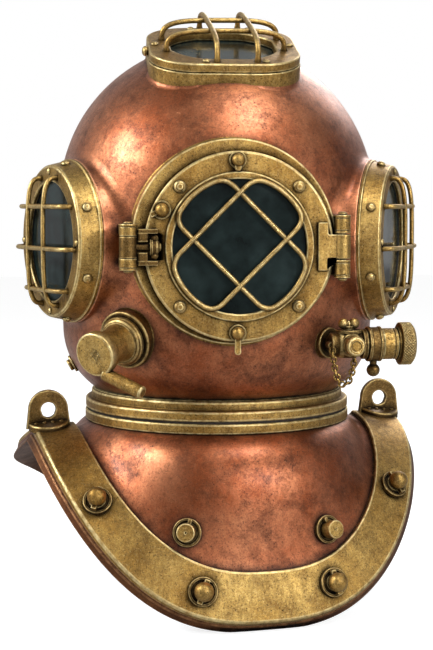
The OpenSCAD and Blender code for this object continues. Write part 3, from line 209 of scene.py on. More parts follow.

# %% [markdown]
# ## Finishes
# The copper and the brass are old: rubbed bright on their edges, brown where hands never reach, pitted with
# dark specks and black in their corners, where painted shade and grime lie together. All of them need the
# same few patterns, so a node group makes these once and each metal mixes its own colours with them.
# Colours are kept as the photograph shows them, and the group puts out masks from 0 to 1. Most masks are
# noise of some scale. Painted shade, with grime in it, darkens the colour where a surface is shadowed by its
# neighbours, and wear lies on the edges that every piece marks as rubbed.

# %% Build the weathering group

# Each pattern has a scale, a detail, a roughness and the two noise values that become 0 and 1.
PATTERNS = {"Cloud": (12, 6, 0.66, 0.38, 0.62), "Stain": (40, 9, 0.8, 0.46, 0.68),
            "Speck": (640, 4, 0.8, 0.565, 0.65), "Streak": (190, 4, 0.6, 0.4, 0.66),
            "Grain": (420, 7, 0.85, 0.4, 0.62), "Fleck": (770, 4, 0.85, 0.55, 0.7)}
STREAK_STRETCH, SHADE_GRIME_REACH, SHADE_GRIME_GAIN = (1, 1, 0.14), 0.008, 2.1
weathering = bpy.data.node_groups.new("weathering", "ShaderNodeTree")
own = add(weathering, "TexCoord").outputs["Object"]
stretched = add(weathering, "Mapping", {"Vector": own, "Scale": STREAK_STRETCH}).outputs["Vector"]
masks = {name: noise(weathering, stretched if name == "Streak" else own, *numbers)
         for name, numbers in PATTERNS.items()}
# Painted shade: ambient occlusion darkens the colour where neighbouring surfaces shadow a point, and noise
# mixes grime into it.
hollow = add(weathering, "AmbientOcclusion", {"Distance": SHADE_GRIME_REACH})
hollow.samples = 6
shade = maths(weathering, "MULTIPLY", maths(weathering, "SUBTRACT", 1.0, hollow.outputs["AO"]), SHADE_GRIME_GAIN)
uneven = maths(weathering, "MULTIPLY_ADD", noise(weathering, own, 130, 4, 0.65), 0.9, 0.65)
masks["ShadeAndGrime"] = maths(weathering, "MULTIPLY", shade, uneven)
edges = add(weathering, "Attribute")
edges.attribute_name = "rubbed"
patchy = maths(weathering, "MULTIPLY_ADD", noise(weathering, own, 170, 4, 0.7), 0.6, 0.1)
masks["Wear"] = maths(weathering, "MULTIPLY", edges.outputs["Fac"], patchy)
for mask in masks:
    weathering.interface.new_socket(mask, in_out="OUTPUT", socket_type="NodeSocketFloat")
fill(weathering, weathering.nodes.new("NodeGroupOutput"), masks)

# %% Mix the metals
finishes = {}
COAT_ROUGH, BUMP, BUMP_DEPTH = 0.34, 0.35, 0.0004


def srgb(r, g, b):
    """Colour as seen on a screen, 0 to 255, turned into the linear one that a shader takes."""
    c = np.array([r, g, b]) / 255
    return (*np.where(c <= 0.04045, c / 12.92, ((c + 0.055) / 1.055) ** 2.4).tolist(), 1)


def metal(name, colours, rough, stains=0.8, specks=0.7, streaks=0.2, mottle=0.45, flecks=0.25, coat=0.0):
    """Old metal, whose colours are mid, bright, brown, black and edge. Bright clouds lie on the mid
    colour, then brown mottling, streaks and stains, bright flecks, painted shade and grime in the hollows,
    black specks, and last the rubbed edges. Stains and the shaded, grimy hollows are rougher than clean
    metal, and rubbed edges smoother."""
    finishes[name], tree, shader = material(name)
    group = add(tree, "Group")
    group.node_tree = weathering
    masks = group.outputs
    colour, bright, brown, black, edge = (srgb(*c) for c in colours)
    # Black mixed over the hollows' mask is painted shade together with grime; the black specks are real
    # pits.
    for mask, share, tint in (("Cloud", 1.0, bright), ("Grain", mottle, brown), ("Streak", streaks, brown),
                              ("Stain", stains, brown), ("Fleck", flecks, edge), ("ShadeAndGrime", 1.0, black),
                              ("Speck", specks, black), ("Wear", 1.0, edge)):
        colour = blend(tree, maths(tree, "MULTIPLY", masks[mask], share), colour, tint)
    dull = rough
    for mask, more in (("Stain", 0.12), ("ShadeAndGrime", 0.22), ("Cloud", -0.05), ("Wear", -0.05)):
        dull = maths(tree, "MULTIPLY_ADD", masks[mask], more, dull)
    rise = maths(tree, "MULTIPLY_ADD", masks["Grain"], 0.35, 0.5)
    rise = maths(tree, "MULTIPLY_ADD", masks["Speck"], -0.8, rise)
    dent = add(tree, "Bump", {"Strength": BUMP, "Distance": BUMP_DEPTH, "Height": rise})
    fill(tree, shader, {"Base Color": colour, "Roughness": dull, "Metallic": 1.0, "Coat Weight": coat,
                        "Coat Roughness": COAT_ROUGH, "Normal": dent.outputs["Normal"]})


metal("copper", ((154, 80, 44), (202, 128, 88), (74, 37, 22), (28, 22, 21), (230, 164, 120)), 0.38,
      stains=0.95, coat=0.22)
metal("dark_copper", ((98, 60, 38), (132, 86, 54), (62, 38, 26), (24, 20, 17), (170, 122, 84)), 0.46)
metal("brass", ((176, 134, 66), (212, 173, 100), (88, 60, 28), (30, 23, 15), (244, 222, 164)), 0.44,
      specks=0.95, streaks=0.4, mottle=0.6, flecks=0.4)
metal("dark_brass", ((108, 80, 42), (148, 114, 62), (54, 37, 21), (22, 19, 17), (222, 192, 130)), 0.46,
      stains=0.9, specks=0.95, mottle=0.6, flecks=0.4)
print("metals:", sorted(finishes))

# %% [markdown]
# Window glass looks almost black from outside, because the inside of the helmet is dark. So it is made as a
# dark plate that lets no light through. Years of use have smeared it, so its tone and its gloss are uneven.
# The leather of the neck's washer is nearly black with grease.

# %% Mix the glass and the leather
finishes["window_glass"], tree, shader = material("window_glass")
smear = noise(tree, add(tree, "TexCoord").outputs["Object"], 28, 5, 0.6, 0.35, 0.72)
fill(tree, shader, {"Base Color": blend(tree, smear, srgb(13, 19, 18), srgb(33, 46, 45)), "IOR": 1.45,
                    "Roughness": maths(tree, "MULTIPLY_ADD", smear, 0.2, 0.08), "Specular IOR Level": 0.3})
finishes["leather"], tree, shader = material("leather")
own = add(tree, "TexCoord").outputs["Object"]
fill(tree, shader, {"Base Color": blend(tree, noise(tree, own, 240, 4), srgb(26, 20, 16), srgb(52, 38, 28)),
                    "Roughness": maths(tree, "MULTIPLY_ADD", noise(tree, own, 300), 0.2, 0.6)})
for node, cad in frame["nodes"].items():
    cad.data.materials.clear()
    cad.data.materials.append(finishes[slot_of[node]])

# %% [markdown]
# ## Tools for surfaces
# Nearly everything on the helmet was spun, turned or cast, so a few tools make nearly all of it. A *block*
# is a closed surface through a grid of points. A turned part is a profile carried round an axis, a rod is a
# circle carried along a path, and a plate is an outline with its edges rounded over. Sharp corners look
# like plastic, so every profile is softened first. The softened edges are also marked, as the places where
# hands rub metal bright.

# %% Place things and work with curves
MM = 0.001
TURN = 2 * np.pi
UPRIGHT = np.eye(4)


def move(x, y, z):
    """Matrix that shifts by x, y and z."""
    m = np.eye(4)
    m[:3, 3] = x, y, z
    return m


def turn(axis, degrees):
    """Matrix that turns about the x, y or z axis."""
    c, s = math.cos(math.radians(degrees)), math.sin(math.radians(degrees))
    i, j = {"x": (1, 2), "y": (2, 0), "z": (0, 1)}[axis]
    m = np.eye(4)
    m[i, i] = m[j, j] = c
    m[i, j], m[j, i] = -s, s
    return m


def facing(angle, z):
    """Place on the bonnet at an angle from the front: local z points outwards and local y up."""
    return move(0, 0, z) @ turn("z", angle) @ turn("x", 90)


def facing_front(x, z):
    """Place on the front of the bonnet, whose local z points straight forwards."""
    return move(x, 0, z) @ turn("x", 90)


def put(place, points):
    """The points, taken from a local place to the helmet's frame."""
    return points @ place[:3, :3].T + place[:3, 3]


def ring_angles(count, start=0.0):
    """Angles evenly spaced round a full turn, in radians."""
    return start + TURN * np.arange(count) / count


def spun(radius, a, height):
    """Points at these radii, angles and heights about the z axis."""
    return np.stack([radius * np.cos(a), radius * np.sin(a), height + 0 * a], axis=-1)


def unit(way):
    """Directions of length one."""
    return way / np.linalg.norm(way, axis=-1, keepdims=True)


def quadratic(t, start, middle, end):
    """Quadratic curve from start to end, pulled towards the middle, at shares t from 0 to 1."""
    return (1 - t) ** 2 * start + 2 * t * (1 - t) * middle + t * t * end


def halving(short, low, high, count):
    """Value between low and high up to which short(value) holds, found by halving the interval count
    times."""
    for _ in range(count):
        middle = (low + high) / 2
        holds = short(middle)
        low, high = np.where(holds, middle, low), np.where(holds, high, middle)
    return middle


def band_of(count, first, last):
    """Mark for rubbed metal in a column of rows: 1 from the first up to the last, and 0 elsewhere."""
    row = np.arange(count)[:, None]
    return ((row >= first) & (row < last)).astype(float)


# %% Make blocks


def block(points, rubbed=0.0, wrap_rows=False):
    """Surface through a grid of points [row, column]. Four neighbours make a face. Columns meet their
    first again, and so do wrapped rows. Rows that aren't wrapped are closed by a flat face at either
    end. The sum of the signed volumes between the faces and the middle is negative if the surface is
    inside out: then it turns."""
    rows, cols = points.shape[:2]
    index = np.arange(rows * cols).reshape(rows, cols)
    ends = [] if wrap_rows else [index[0], index[-1][::-1]]
    if wrap_rows:
        index = np.vstack([index, index[:1]])
    index = np.hstack([index, index[:, :1]])
    quads = np.stack([index[:-1, :-1], index[1:, :-1], index[1:, 1:], index[:-1, 1:]], axis=-1).reshape(-1,
                                                                                                        4)
    flat = points.reshape(-1, 3)
    centred = flat - flat.mean(axis=0)
    a, b, c, d = (centred[quads[:, k]] for k in range(4))
    volume = np.sum(a * (np.cross(b, c) + np.cross(c, d)))
    volume += sum(np.sum(np.cross(centred[e[1:-1]], centred[e[2:]]) * centred[e[0]]) for e in ends)
    if volume < 0:
        quads, ends = quads[:, ::-1], [e[::-1] for e in ends]
    return flat, quads, ends, np.broadcast_to(rubbed, (rows, cols)).ravel()


def soften(corners, r, steps=3):
    """Closed profile with its corners rounded. Near each corner the profile is a quadratic curve that
    starts r before the corner and ends r after it. One more point on either side keeps the flats flat.
    Returns the points, and for each 1 where it lies on an outward corner. A corner may carry its own r
    as a third number."""
    full = np.array([(*c, r)[:3] for c in corners], float)
    p, size = full[:, :2], full[:, 2]
    before, after = np.roll(p, 1, axis=0) - p, np.roll(p, -1, axis=0) - p
    far_b, far_a = np.linalg.norm(before, axis=1), np.linalg.norm(after, axis=1)
    size = np.minimum(size, 0.32 * np.minimum(far_b, far_a))[:, None]
    before, after = before / far_b[:, None], after / far_a[:, None]
    bend = before[:, 1] * after[:, 0] - before[:, 0] * after[:, 1]
    area = np.sum(p[:, 0] * np.roll(p[:, 1], -1) - np.roll(p[:, 0], -1) * p[:, 1])
    t = np.linspace(0, 1, steps + 1)[:, None, None]
    arc = quadratic(t, p + before * size, p, p + after * size)
    rows = np.concatenate([[p + before * size * 1.4], arc, [p + after * size * 1.4]])
    mark = np.zeros(rows.shape[:2])
    mark[1:-1] = (bend * area > 0) & (size[:, 0] > 0)
    return rows.transpose(1, 0, 2).reshape(-1, 2), mark.T.ravel()


def lathe(corners, place, r=0.8, steps=3, sides=96):
    """Turned part: a softened profile of (radius, height) corners, carried round the local z axis."""
    p, mark = soften([(*c[:2], 0) if c[0] == 0 else c for c in corners], r, steps)
    return block(put(place, spun(p[:, :1], ring_angles(sides), p[:, 1:])), mark[:, None], wrap_rows=True)


def plug(radius, low, high, place, r=0.8, steps=3, sides=96):
    """Plain turned cylinder between two heights."""
    return lathe([(0, low), (radius, low), (radius, high), (0, high)], place, r, steps, sides)


def spokes(along, normal, sides):
    """Directions round a path that runs along the given ways in one plane. The circle's own axes are the
    plane's normal and the normal's cross product with the way."""
    across = unit(np.cross(along, np.array(normal, float)))
    a = ring_angles(sides)[:, None]
    return np.cos(a) * across[:, None] + np.sin(a) * np.array(normal, float)


def rod(path, r, normal, place, sides, closed=False, wear=0.75):
    """Round rod: a circle carried along a path that lies in a plane with the given normal. The side that
    looks outwards, along local z, is marked as rubbed."""
    along = np.roll(path, -1, axis=0) - np.roll(path, 1, axis=0) if closed else np.gradient(path, axis=0)
    spoke = spokes(along, normal, sides)
    points = path[:, None] + np.broadcast_to(r, len(path))[:, None, None] * spoke
    return block(put(place, points), wear * np.clip(spoke[..., 2], 0, 1) ** 3, wrap_rows=closed)


def inset(outline, distance):
    """Closed outline moved inwards along the mean of the normals of its two edges at each point."""
    edge = np.roll(outline, -1, axis=0) - outline
    edge /= np.maximum(np.linalg.norm(edge, axis=1, keepdims=True), 1e-9)
    inward = np.stack([-edge[:, 1], edge[:, 0]], axis=1)
    mean = inward + np.roll(inward, 1, axis=0)
    mean /= np.maximum((mean ** 2).sum(axis=1, keepdims=True) / 2, 0.5)
    return outline + distance * mean


def level(outline, z):
    """The points of a flat outline, all at one height or each at its own."""
    return np.column_stack([outline, np.broadcast_to(z, len(outline))])


def rolled(outline, low, high, r, steps, grow=1):
    """Rows of a plate's edge: up from below, round both rims on quarter circles of radius r, with the
    mark of each row for rubbed metal."""
    t = np.linspace(0, np.pi / 2, steps + 1)
    ins = np.concatenate([[1.4 * r], r * (1 - np.sin(t)), [0]])
    up = np.concatenate([[0], r * (1 - np.cos(t)), [1.4 * r]])
    mark = np.concatenate([[0], np.ones(steps + 1), [0]])
    ins, up = np.concatenate([ins, ins[::-1]]), np.concatenate([low + up, high - up[::-1]])
    rows = [level(inset(outline, grow * i), z) for i, z in zip(ins, up)]
    return np.array(rows), np.concatenate([mark, mark[::-1]])[:, None]


def plate(outline, low, high, place, r, steps=3):
    """Plate with the given outline between two heights, its rims rolled over."""
    rows, mark = rolled(outline, low, high, r, steps)
    return block(put(place, rows), mark)


def holed_plate(outline, hole, low, high, place, r):
    """Plate with a hole. The outline and the hole have the same number of points and run the same way
    round."""
    outer, mark = rolled(outline, low, high, r, 3)
    inner, _ = rolled(hole, low, high, r, 3, grow=-1)
    return block(put(place, np.concatenate([outer, inner[::-1]])), np.concatenate([mark, mark]),
                 wrap_rows=True)


def bar(lowest, highest, place=UPRIGHT, r=0.6):
    """Rectangular bar between two corners, with softened edges."""
    (x0, y0, z0), (x1, y1, z1) = lowest, highest
    outline, _ = soften([(x0, y0), (x1, y0), (x1, y1), (x0, y1)], 1.3 * r, 2)
    return plate(outline, z0, z1, place, r, 2)


def ball(r, place, flat, sides):
    """Ball whose poles lie on local z, squeezed to a share of its height."""
    t = np.linspace(-np.pi / 2, np.pi / 2, sides // 2 + 1)[:, None]
    points = spun(r * np.cos(t), ring_angles(sides), flat * r * np.sin(t))
    return block(put(place, points), 0.55 * np.clip(points[..., 2] / r, 0, 1) ** 2)


# %% Turn blocks into pieces


def closed_mesh(name, blocks):
    """Mesh of some blocks, in metres. Points that lie on each other are merged, which closes seams and
    poles."""
    start = np.cumsum([0] + [len(b[0]) for b in blocks])
    faces = [f for b,
             s in zip(blocks, start) for f in (b[1] + s).tolist() + [(e + s).tolist() for e in b[2]]]
    mesh = bpy.data.meshes.new(name)
    mesh.from_pydata(np.concatenate([b[0] for b in blocks]) * MM, [], faces)
    mark = mesh.attributes.new("rubbed", "FLOAT", "POINT")
    mark.data.foreach_set("value", np.concatenate([b[3] for b in blocks]).astype(np.float32))
    merged = bmesh.new()
    merged.from_mesh(mesh)
    bmesh.ops.remove_doubles(merged, verts=merged.verts, dist=1e-6)
    merged.to_mesh(mesh)
    merged.free()
    return mesh


def piece(name, blocks, solid=None, body=None, slot=None, sharp=40):
    """Object made of blocks. It stands for the solid of its own name or for the one that is named, rides
    on that solid's body and wears its finish. Where a body is given it stands for none, and only rides
    on it. Edges sharper than the angle stay sharp."""
    mesh = closed_mesh(name, blocks)
    mesh.shade_smooth()
    mesh.set_sharp_from_angle(angle=math.radians(sharp))
    made = bpy.data.objects.new(name, mesh)
    bpy.context.collection.objects.link(made)
    solid = solid or name
    slot = slot or slot_of[solid]
    mesh.materials.append(finishes[slot])
    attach(made, body or body_of[solid])
    if not body:
        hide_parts(solid)
    return made


def carve(made, *cutters):
    """Cuts closed blocks out of a piece with exact Booleans, and keeps the result as its mesh."""
    tools = []
    for points, quads, ends, mark in cutters:
        tool = bpy.data.objects.new("cutter", closed_mesh("cutter", [(points, quads, ends, 0 * mark)]))
        bpy.context.collection.objects.link(tool)
        cut = made.modifiers.new("cut", "BOOLEAN")
        cut.operation, cut.solver, cut.object = "DIFFERENCE", "EXACT", tool
        tools.append(tool)
    bpy.context.view_layer.update()
    done = bpy.data.meshes.new_from_object(made.evaluated_get(bpy.context.evaluated_depsgraph_get()))
    made.modifiers.clear()
    made.data = done
    for tool in tools:
        bpy.data.objects.remove(tool)


# %% [markdown]
# ## The bonnet's wall
# The bonnet was spun from one sheet of copper: a dome, a wall that leans out a little, and a tight turn in
# to the neck. Its outside is a radius for each height. Everything that stands on the bonnet has a foot that
# follows this curve, so the depth of the wall under any point of a fitting is found by halving an interval
# again and again.

# %% Describe the wall
DOME_R, DOME_Z, WAIST_R, WAIST_Z, BEND_R, NECK_Z, WALL = 152.5, 199.0, 149.5, 79.0, 72.0, 20.0, 3.0


def wall_radius(z):
    """Radius of the bonnet's outside at a height: a circle about the dome's centre above it, a straight
    line down to the waist, and a smaller circle from there to the neck."""
    dome = np.sqrt(np.maximum(DOME_R ** 2 - (z - DOME_Z) ** 2, 0))
    straight = WAIST_R + (z - WAIST_Z) / (DOME_Z - WAIST_Z) * (DOME_R - WAIST_R)
    bend = WAIST_R - BEND_R + np.sqrt(np.maximum(BEND_R ** 2 - (WAIST_Z - z) ** 2, 0))
    return np.where(z > DOME_Z, dome, np.where(z > WAIST_Z, straight, bend))


def wall_depth(place, x, y, near=40.0, far=240.0):
    """Local z at which the wall lies under the local point (x, y), by thirty halvings between near,
    which is inside the bonnet, and far, which is outside."""
    def inside(z):
        p = put(place, np.stack([x, y, z], axis=-1))
        return np.hypot(p[..., 0], p[..., 1]) <= wall_radius(p[..., 2])

    return halving(inside, near + 0 * x, far + 0 * x, 30)


def saddle(place, radius, top, hollow, fillet, r, lean=0.0, sides=160, near=40.0, far=240.0):
    """Collar that stands on the wall. Its foot sweeps out of the wall on a quadratic curve, its side
    leans in by the given share of its height, and its rim is rolled over."""
    a = ring_angles(sides)
    radius, hollow = radius + 0 * a, hollow + 0 * a

    def ground(reach):
        return wall_depth(place, reach * np.cos(a), reach * np.sin(a), near, far)

    foot = radius
    for _ in range(4):
        foot = radius + lean * (top - ground(foot))
    height = top - ground(foot)
    rise, roll = np.minimum(fillet, 0.6 * height), np.minimum(r, 0.25 * height)
    t, s = np.linspace(0, 1, 7)[:, None], np.linspace(0, 1, 4)[:, None]
    sweep = quadratic(t, foot + fillet, foot, foot - lean * rise)
    sweep_z = quadratic(t, ground(foot + fillet) - 0.2, top - height, top - height + rise)
    reach = np.vstack([hollow, foot + fillet, sweep, radius + lean * roll * 1.4, radius - roll * s * s,
                       radius - 1.4 * roll, hollow + 0.5, hollow])
    up = np.vstack([ground(hollow) - 2, ground(foot + fillet) - 2, sweep_z, top - 1.4 * roll,
                    top - roll * (1 - s) ** 2, top + 0 * a, top + 0 * a, top - 0.5 + 0 * a])
    return block(put(place, spun(reach, a, up)), band_of(len(reach), 10, 14), wrap_rows=True)


def dents(points, amount, pitch, seed):
    """Slow unevenness of beaten metal: the mean of twelve sine waves in random directions, about a pitch
    long."""
    draw = np.random.default_rng(seed)
    way = draw.normal(size=(12, 3))
    way *= TURN / pitch / np.linalg.norm(way, axis=1, keepdims=True) * draw.uniform(0.6, 1.5, (12, 1))
    return amount * np.sin(points @ way.T + draw.uniform(0, TURN, 12)).mean(axis=-1, keepdims=True) * 2


# %% [markdown]
# ## Bonnet
# The dome is a grid of rows up the wall and columns round it, inside and outside, so it is a real sheet
# with a thickness. A few tenths of a millimetre of dents break up the reflections as spinning and
# planishing marks do. The window openings are cut by exact Booleans, and the seats cover their edges.

# %% Spin the bonnet


def bonnet_row(drop):
    """Points (radius, height) of the wall, moved inwards by drop, from the neck to the crown."""
    foot = -math.asin((WAIST_Z - NECK_Z) / (BEND_R - drop))
    t = np.linspace(foot, 0, 26)
    bend = [WAIST_R - BEND_R + (BEND_R - drop) * np.cos(t), WAIST_Z + (BEND_R - drop) * np.sin(t)]
    z = np.linspace(WAIST_Z, DOME_Z, 25)[1:]
    t = np.linspace(0, np.pi / 2, 56)[1:]
    dome = [(DOME_R - drop) * np.cos(t), DOME_Z + (DOME_R - drop) * np.sin(t)]
    return np.concatenate([bend, [wall_radius(z) - drop, z], dome], axis=1).T


outer, inner = bonnet_row(0.0), bonnet_row(WALL)
outer[-1, 0] = inner[-1, 0] = 0
rows = np.concatenate([outer, inner[::-1]])
sheet = spun(rows[:, :1], ring_angles(224), rows[:, 1:])
sheet += unit(sheet - (0, 0, DOME_Z - 40)) * dents(sheet, amount=0.16, pitch=75, seed=3)
bonnet = piece("bonnet", [block(sheet, wrap_rows=True)], "bonnet_shell")
FRONT_PLACE, DOOR_PLACE = facing_front(0, 164), facing_front(3.5, 160)
SIDE_ANGLE, SIDE_Z = 67.8, 162.5
SIDE_PLACES = {"left": facing(-SIDE_ANGLE, SIDE_Z), "right": facing(SIDE_ANGLE, SIDE_Z)}
TOP_PLACE = move(0, 0, DOME_Z) @ turn("x", 20.2)
DOOR_HOLE, TOP_HOLE, SIDE_HOLE = 67, 58, 63
openings = [(DOOR_PLACE, DOOR_HOLE), (TOP_PLACE, TOP_HOLE)] + [(p, SIDE_HOLE) for p in SIDE_PLACES.values()]
carve(bonnet, *[plug(r, 70, 240, place, 0.5, 1) for place, r in openings])
print("bonnet:", len(bonnet.data.polygons), "faces")

# %% [markdown]
# ## Front window
# The front window is a round door. Its seat is a brass drum brazed to the copper, a little to one side of
# the door. The door is a turned ring with a raised step round the glass, a notch on the left for the swing
# bolt and a hinge leaf on the right. The ring is a lathe profile, and the notch is cut with a Boolean
# because nothing turned could have it.

# %% Make the seat and the door
DOOR_BACK, DOOR_FRONT, STEP_FRONT = 156.3, 164.3, 167.3
HINGE_X, LATCH_X, LATCH_Y, DOOR_Z = 94.0, -93.5, -167.8, 160.0
PIN_R, PIN_ROOM, KNUCKLE_R, BARREL_R, NOTCH_HALF = 3.0, 0.06, 7.0, 7.7, 11.7
piece("front_seat", [saddle(FRONT_PLACE, 90, 156, 70, fillet=2.6, r=1.2),
                     saddle(DOOR_PLACE, 66.9, 155.2, 61.5, fillet=0.3, r=0.4)])
ring = lathe([(61, DOOR_BACK), (83, DOOR_BACK), (83, DOOR_FRONT, 1.8), (65, DOOR_FRONT, 0.5),
              (65, STEP_FRONT, 1.3), (58.5, STEP_FRONT, 1.3), (58.5, 163.6), (61, 163.6)],
             DOOR_PLACE, 0.5, 4, 192)
door = piece("door_ring", [ring])
carve(door, bar((-104, -170, DOOR_Z - NOTCH_HALF), (-64, -151, DOOR_Z + NOTCH_HALF), r=1.5))
piece("door_glass", [plug(60.8, 157.3, 162.3, DOOR_PLACE)])

# %% Fit the fork, the hinge leaf and the knuckles


def grooved(r, low, high, grooves, place, r_edge=0.7):
    """Sleeve round a pin, about local z, with shallow grooves turned into it at the given heights."""
    side, bore = [], PIN_R + PIN_ROOM
    for g in grooves:
        side += [(r, g - 0.55, 0.15), (r - 0.6, g - 0.2, 0.1), (r - 0.6, g + 0.2, 0.1), (r, g + 0.55, 0.15)]
    return lathe([(bore, low), (r, low)] + side + [(r, high), (bore, high)], place, r_edge, 3, 72)


FRONT = facing_front(0, 0)
fork = []
for s in (-1, 1):
    z_near, z_far = sorted((DOOR_Z + s * NOTCH_HALF, DOOR_Z + s * (NOTCH_HALF + 4)))
    fork.append(bar((-85, LATCH_Y - 4, z_near), (-68, -157.3, z_far)))
    z_near, z_far = sorted((DOOR_Z + s * 4.5, DOOR_Z + s * 12.7))
    fork.append(bar((-85, LATCH_Y - 4, z_near), (-76.6, -157.3, z_far), r=0.9))
piece("door_fork", fork, body=body_of["door_ring"], slot="dark_brass")
leaf, _ = soften([(72, 139), (81, 139), (81, 149.5), (94, 149.5), (94, 170.5), (81, 170.5), (81, 181),
                  (72, 181)], 1.2)
at_hinge, at_latch = move(HINGE_X, -DOOR_FRONT, DOOR_Z), move(LATCH_X, LATCH_Y, DOOR_Z)
piece("hinge_leaf", [plate(leaf, DOOR_FRONT - 0.5, DOOR_FRONT + 3.6, FRONT, 0.8),
                     grooved(KNUCKLE_R, -10.5, 10.5, [], at_hinge)], body=body_of["door_ring"],
      slot="brass")


def brackets(x, y, r, near, far, grooves):
    """Two sleeves above and below a hinged middle, on webs that run back to the bonnet's wall."""
    parts = []
    for s in (-1, 1):
        place = move(x, y, DOOR_Z) @ turn("x", 0 if s > 0 else 180)
        parts.append(grooved(r, near, far, grooves, place))
        low, high = sorted((DOOR_Z + s * (near + 0.6), DOOR_Z + s * (far - 0.6)))
        inner_x, outer_x = sorted((x - math.copysign(r - 3.6, x), x + math.copysign(r - 1.2, x)))
        parts.append(bar((inner_x, y + 3.6, low), (outer_x, -112, high), r=0.8))
    return parts


piece("hinge_bracket", brackets(HINGE_X, -DOOR_FRONT, KNUCKLE_R, 11.5, 27.5, [14.2, 24.8]))
piece("bolt_bracket", brackets(LATCH_X, LATCH_Y, BARREL_R, 9.8, 20, [17.6]))


def pin(place, half, head_r, head_h):
    """Pin about local z with a domed head at either end."""
    top = [(PIN_R, half), (head_r, half), (head_r, half + 0.45 * head_h), (0.45 * head_r, half + head_h),
           (0, half + head_h)]
    return lathe([(x, -z) for x, z in reversed(top)] + top, place, 0.5, 3, 48)


piece("hinge_pin", [pin(at_hinge, 28, 4.2, 2.4)])
piece("bolt_pin", [pin(at_latch, 20.5, 4, 1.8)])

# %% [markdown]
# ## Swing bolt
# The swing bolt is an eye that turns on its pin, with a shank that drops into the door's fork. A nut with
# two round ears pulls the door shut. The ears are small balls with a flat web, as a cast wing nut has.

# %% Make the swing bolt and its nut
along_bolt = at_latch @ turn("y", 90)
NUT_NEAR, NUT_L = 18.7, 8.0
piece("swing_bolt", [grooved(BARREL_R, -9.4, 9.4, [], at_latch, r_edge=0.9),
                     plug(3.5, 5, 28.3, along_bolt, sides=40)], slot="dark_brass")
nut_place = along_bolt @ move(0, 0, NUT_NEAR)
nut = [lathe([(3.6, 0), (7.2, 0), (7.2, 2.2), (6.2, 3), (6.2, 6.2), (4.9, NUT_L), (3.6, NUT_L)], nut_place,
             sides=60),
       bar((-8, -1.9, 0.8), (8, 1.9, 5.4), nut_place, 0.7)]
nut += [ball(3.7, nut_place @ move(s * 7.4, 0, 3.6), 1.05, 28) for s in (-1, 1)]
piece("wing_nut", nut, slot="dark_brass")

# %% [markdown]
# ## Guards
# Every window has a guard of brass rod. The front one is two closed loops, crossed at right angles, that
# lie on the door's step. A side or top guard is a grille of bowed rods: each rises steeply from the frame,
# runs nearly level over the glass and comes down again. Such a bow is a superellipse, flatter on top and
# squarer at its shoulders than a circle. The feet swell where solder has run up them.

# %% Bend the guards
ROD_R, FRONT_ROD_D, LOOP_R, GUARD_OFF, BOW_POWER = 2.2, 28.7, 60.3, 6.5, 3.6


def loop_path(middle, dip):
    """Closed loop on the step: two straight runs, one on either side of the middle, joined by two arcs
    about the window's centre. The corners are quadratic. The runs dip where the other loop crosses them."""
    low, high, run, trim = middle - FRONT_ROD_D, middle + FRONT_ROD_D, 11, math.radians(9)
    low_a, high_a = math.asin(low / LOOP_R), math.asin(high / LOOP_R)
    low_x, high_x = LOOP_R * math.cos(low_a), LOOP_R * math.cos(high_a)
    arc = spun(LOOP_R, np.linspace(low_a + trim, high_a - trim, 24), 0)[:, :2]
    first = level(np.linspace(-low_x + run, low_x - run, 41)[1:-1, None], low)
    second = level(np.linspace(high_x - run, -high_x + run, 41)[1:-1, None], high)
    t = np.linspace(0, 1, 7)[:, None]
    p = np.array([(low_x - run, low), (low_x, low), (high_x, high), (high_x - run, high)])
    right = np.concatenate([quadratic(t, p[0], p[1], arc[0]), arc[1:-1], quadratic(t, arc[-1], p[2], p[3])])
    path = np.concatenate([first, right, second, (right * (-1, 1))[::-1]])
    crossings = np.array([[s * x, y] for s in (-1, 1) for x in (-low, high) for y in (low, high)])
    near = np.linalg.norm(path[:, None] - crossings, axis=2).min(axis=1)
    return np.column_stack([path, dip * np.exp(-(near / 5) ** 2)])


raised = DOOR_PLACE @ move(0, 0, STEP_FRONT + ROD_R - 0.15)
guard_up = GUARD_OFF * math.cos(math.radians(45))
piece("door_guard", [rod(loop_path(guard_up, dip), ROD_R, (0, 0, 1), raised @ turn("z", side), 14, True)
                     for side, dip in ((45, 0.9), (-45, -0.3))])


def bow(span, rise, place, r=ROD_R):
    """Bowed rod across the local x axis. Its height is the rise times (1 - |s| to a power) to the
    inverse power, where s runs from -1 to 1 along the span. Its feet go down into the frame and swell by
    a third."""
    s = np.sin(np.linspace(-np.pi / 2, np.pi / 2, 61))
    z = rise * (1 - np.abs(s) ** BOW_POWER) ** (1 / BOW_POWER)
    path = np.stack([s * span / 2, 0 * s, z], axis=1)
    path = np.concatenate([[[-span / 2, 0, -1.2]], path, [[span / 2, 0, -1.2]]])
    thick = r * (1 + 0.34 * np.exp(-(np.maximum(path[:, 2], 0) / 1.9) ** 2))
    return rod(path, thick, (0, 1, 0), place, 12)


# %% [markdown]
# ## Side windows
# Each side window stands on a collar that was raised from the bonnet's own copper, so the collar's foot
# sweeps out of the wall. On it sits a tapered brass drum with screws round its side and in its face. Left
# and right are made by the same code in mirrored places.

# %% Build the side windows
SEAT_D, DRUM_H, DRUM_R, FACE_R, SIDE_VIEW_R = 152.7, 21.4, 75.5, 69.3, 55.0
FACE_D, FOOT_R, GRILLE_RISE, SIDE_SCREWS = SEAT_D + DRUM_H, 61, 14, 7
LEVEL_RODS, UPRIGHT_RODS = (32, -6, -44), (-19, 19)
TAPER = math.degrees(math.atan((DRUM_R - FACE_R) / DRUM_H))


def screw(place, r, h, sides=32):
    """Round-headed screw: a low cylinder whose top is rounded in two steps."""
    return lathe([(0, -0.6), (r, -0.6), (r, 0.42 * h), (0.8 * r, 0.72 * h), (0.42 * r, h), (0, h)], place,
                 0.55, sides=sides)


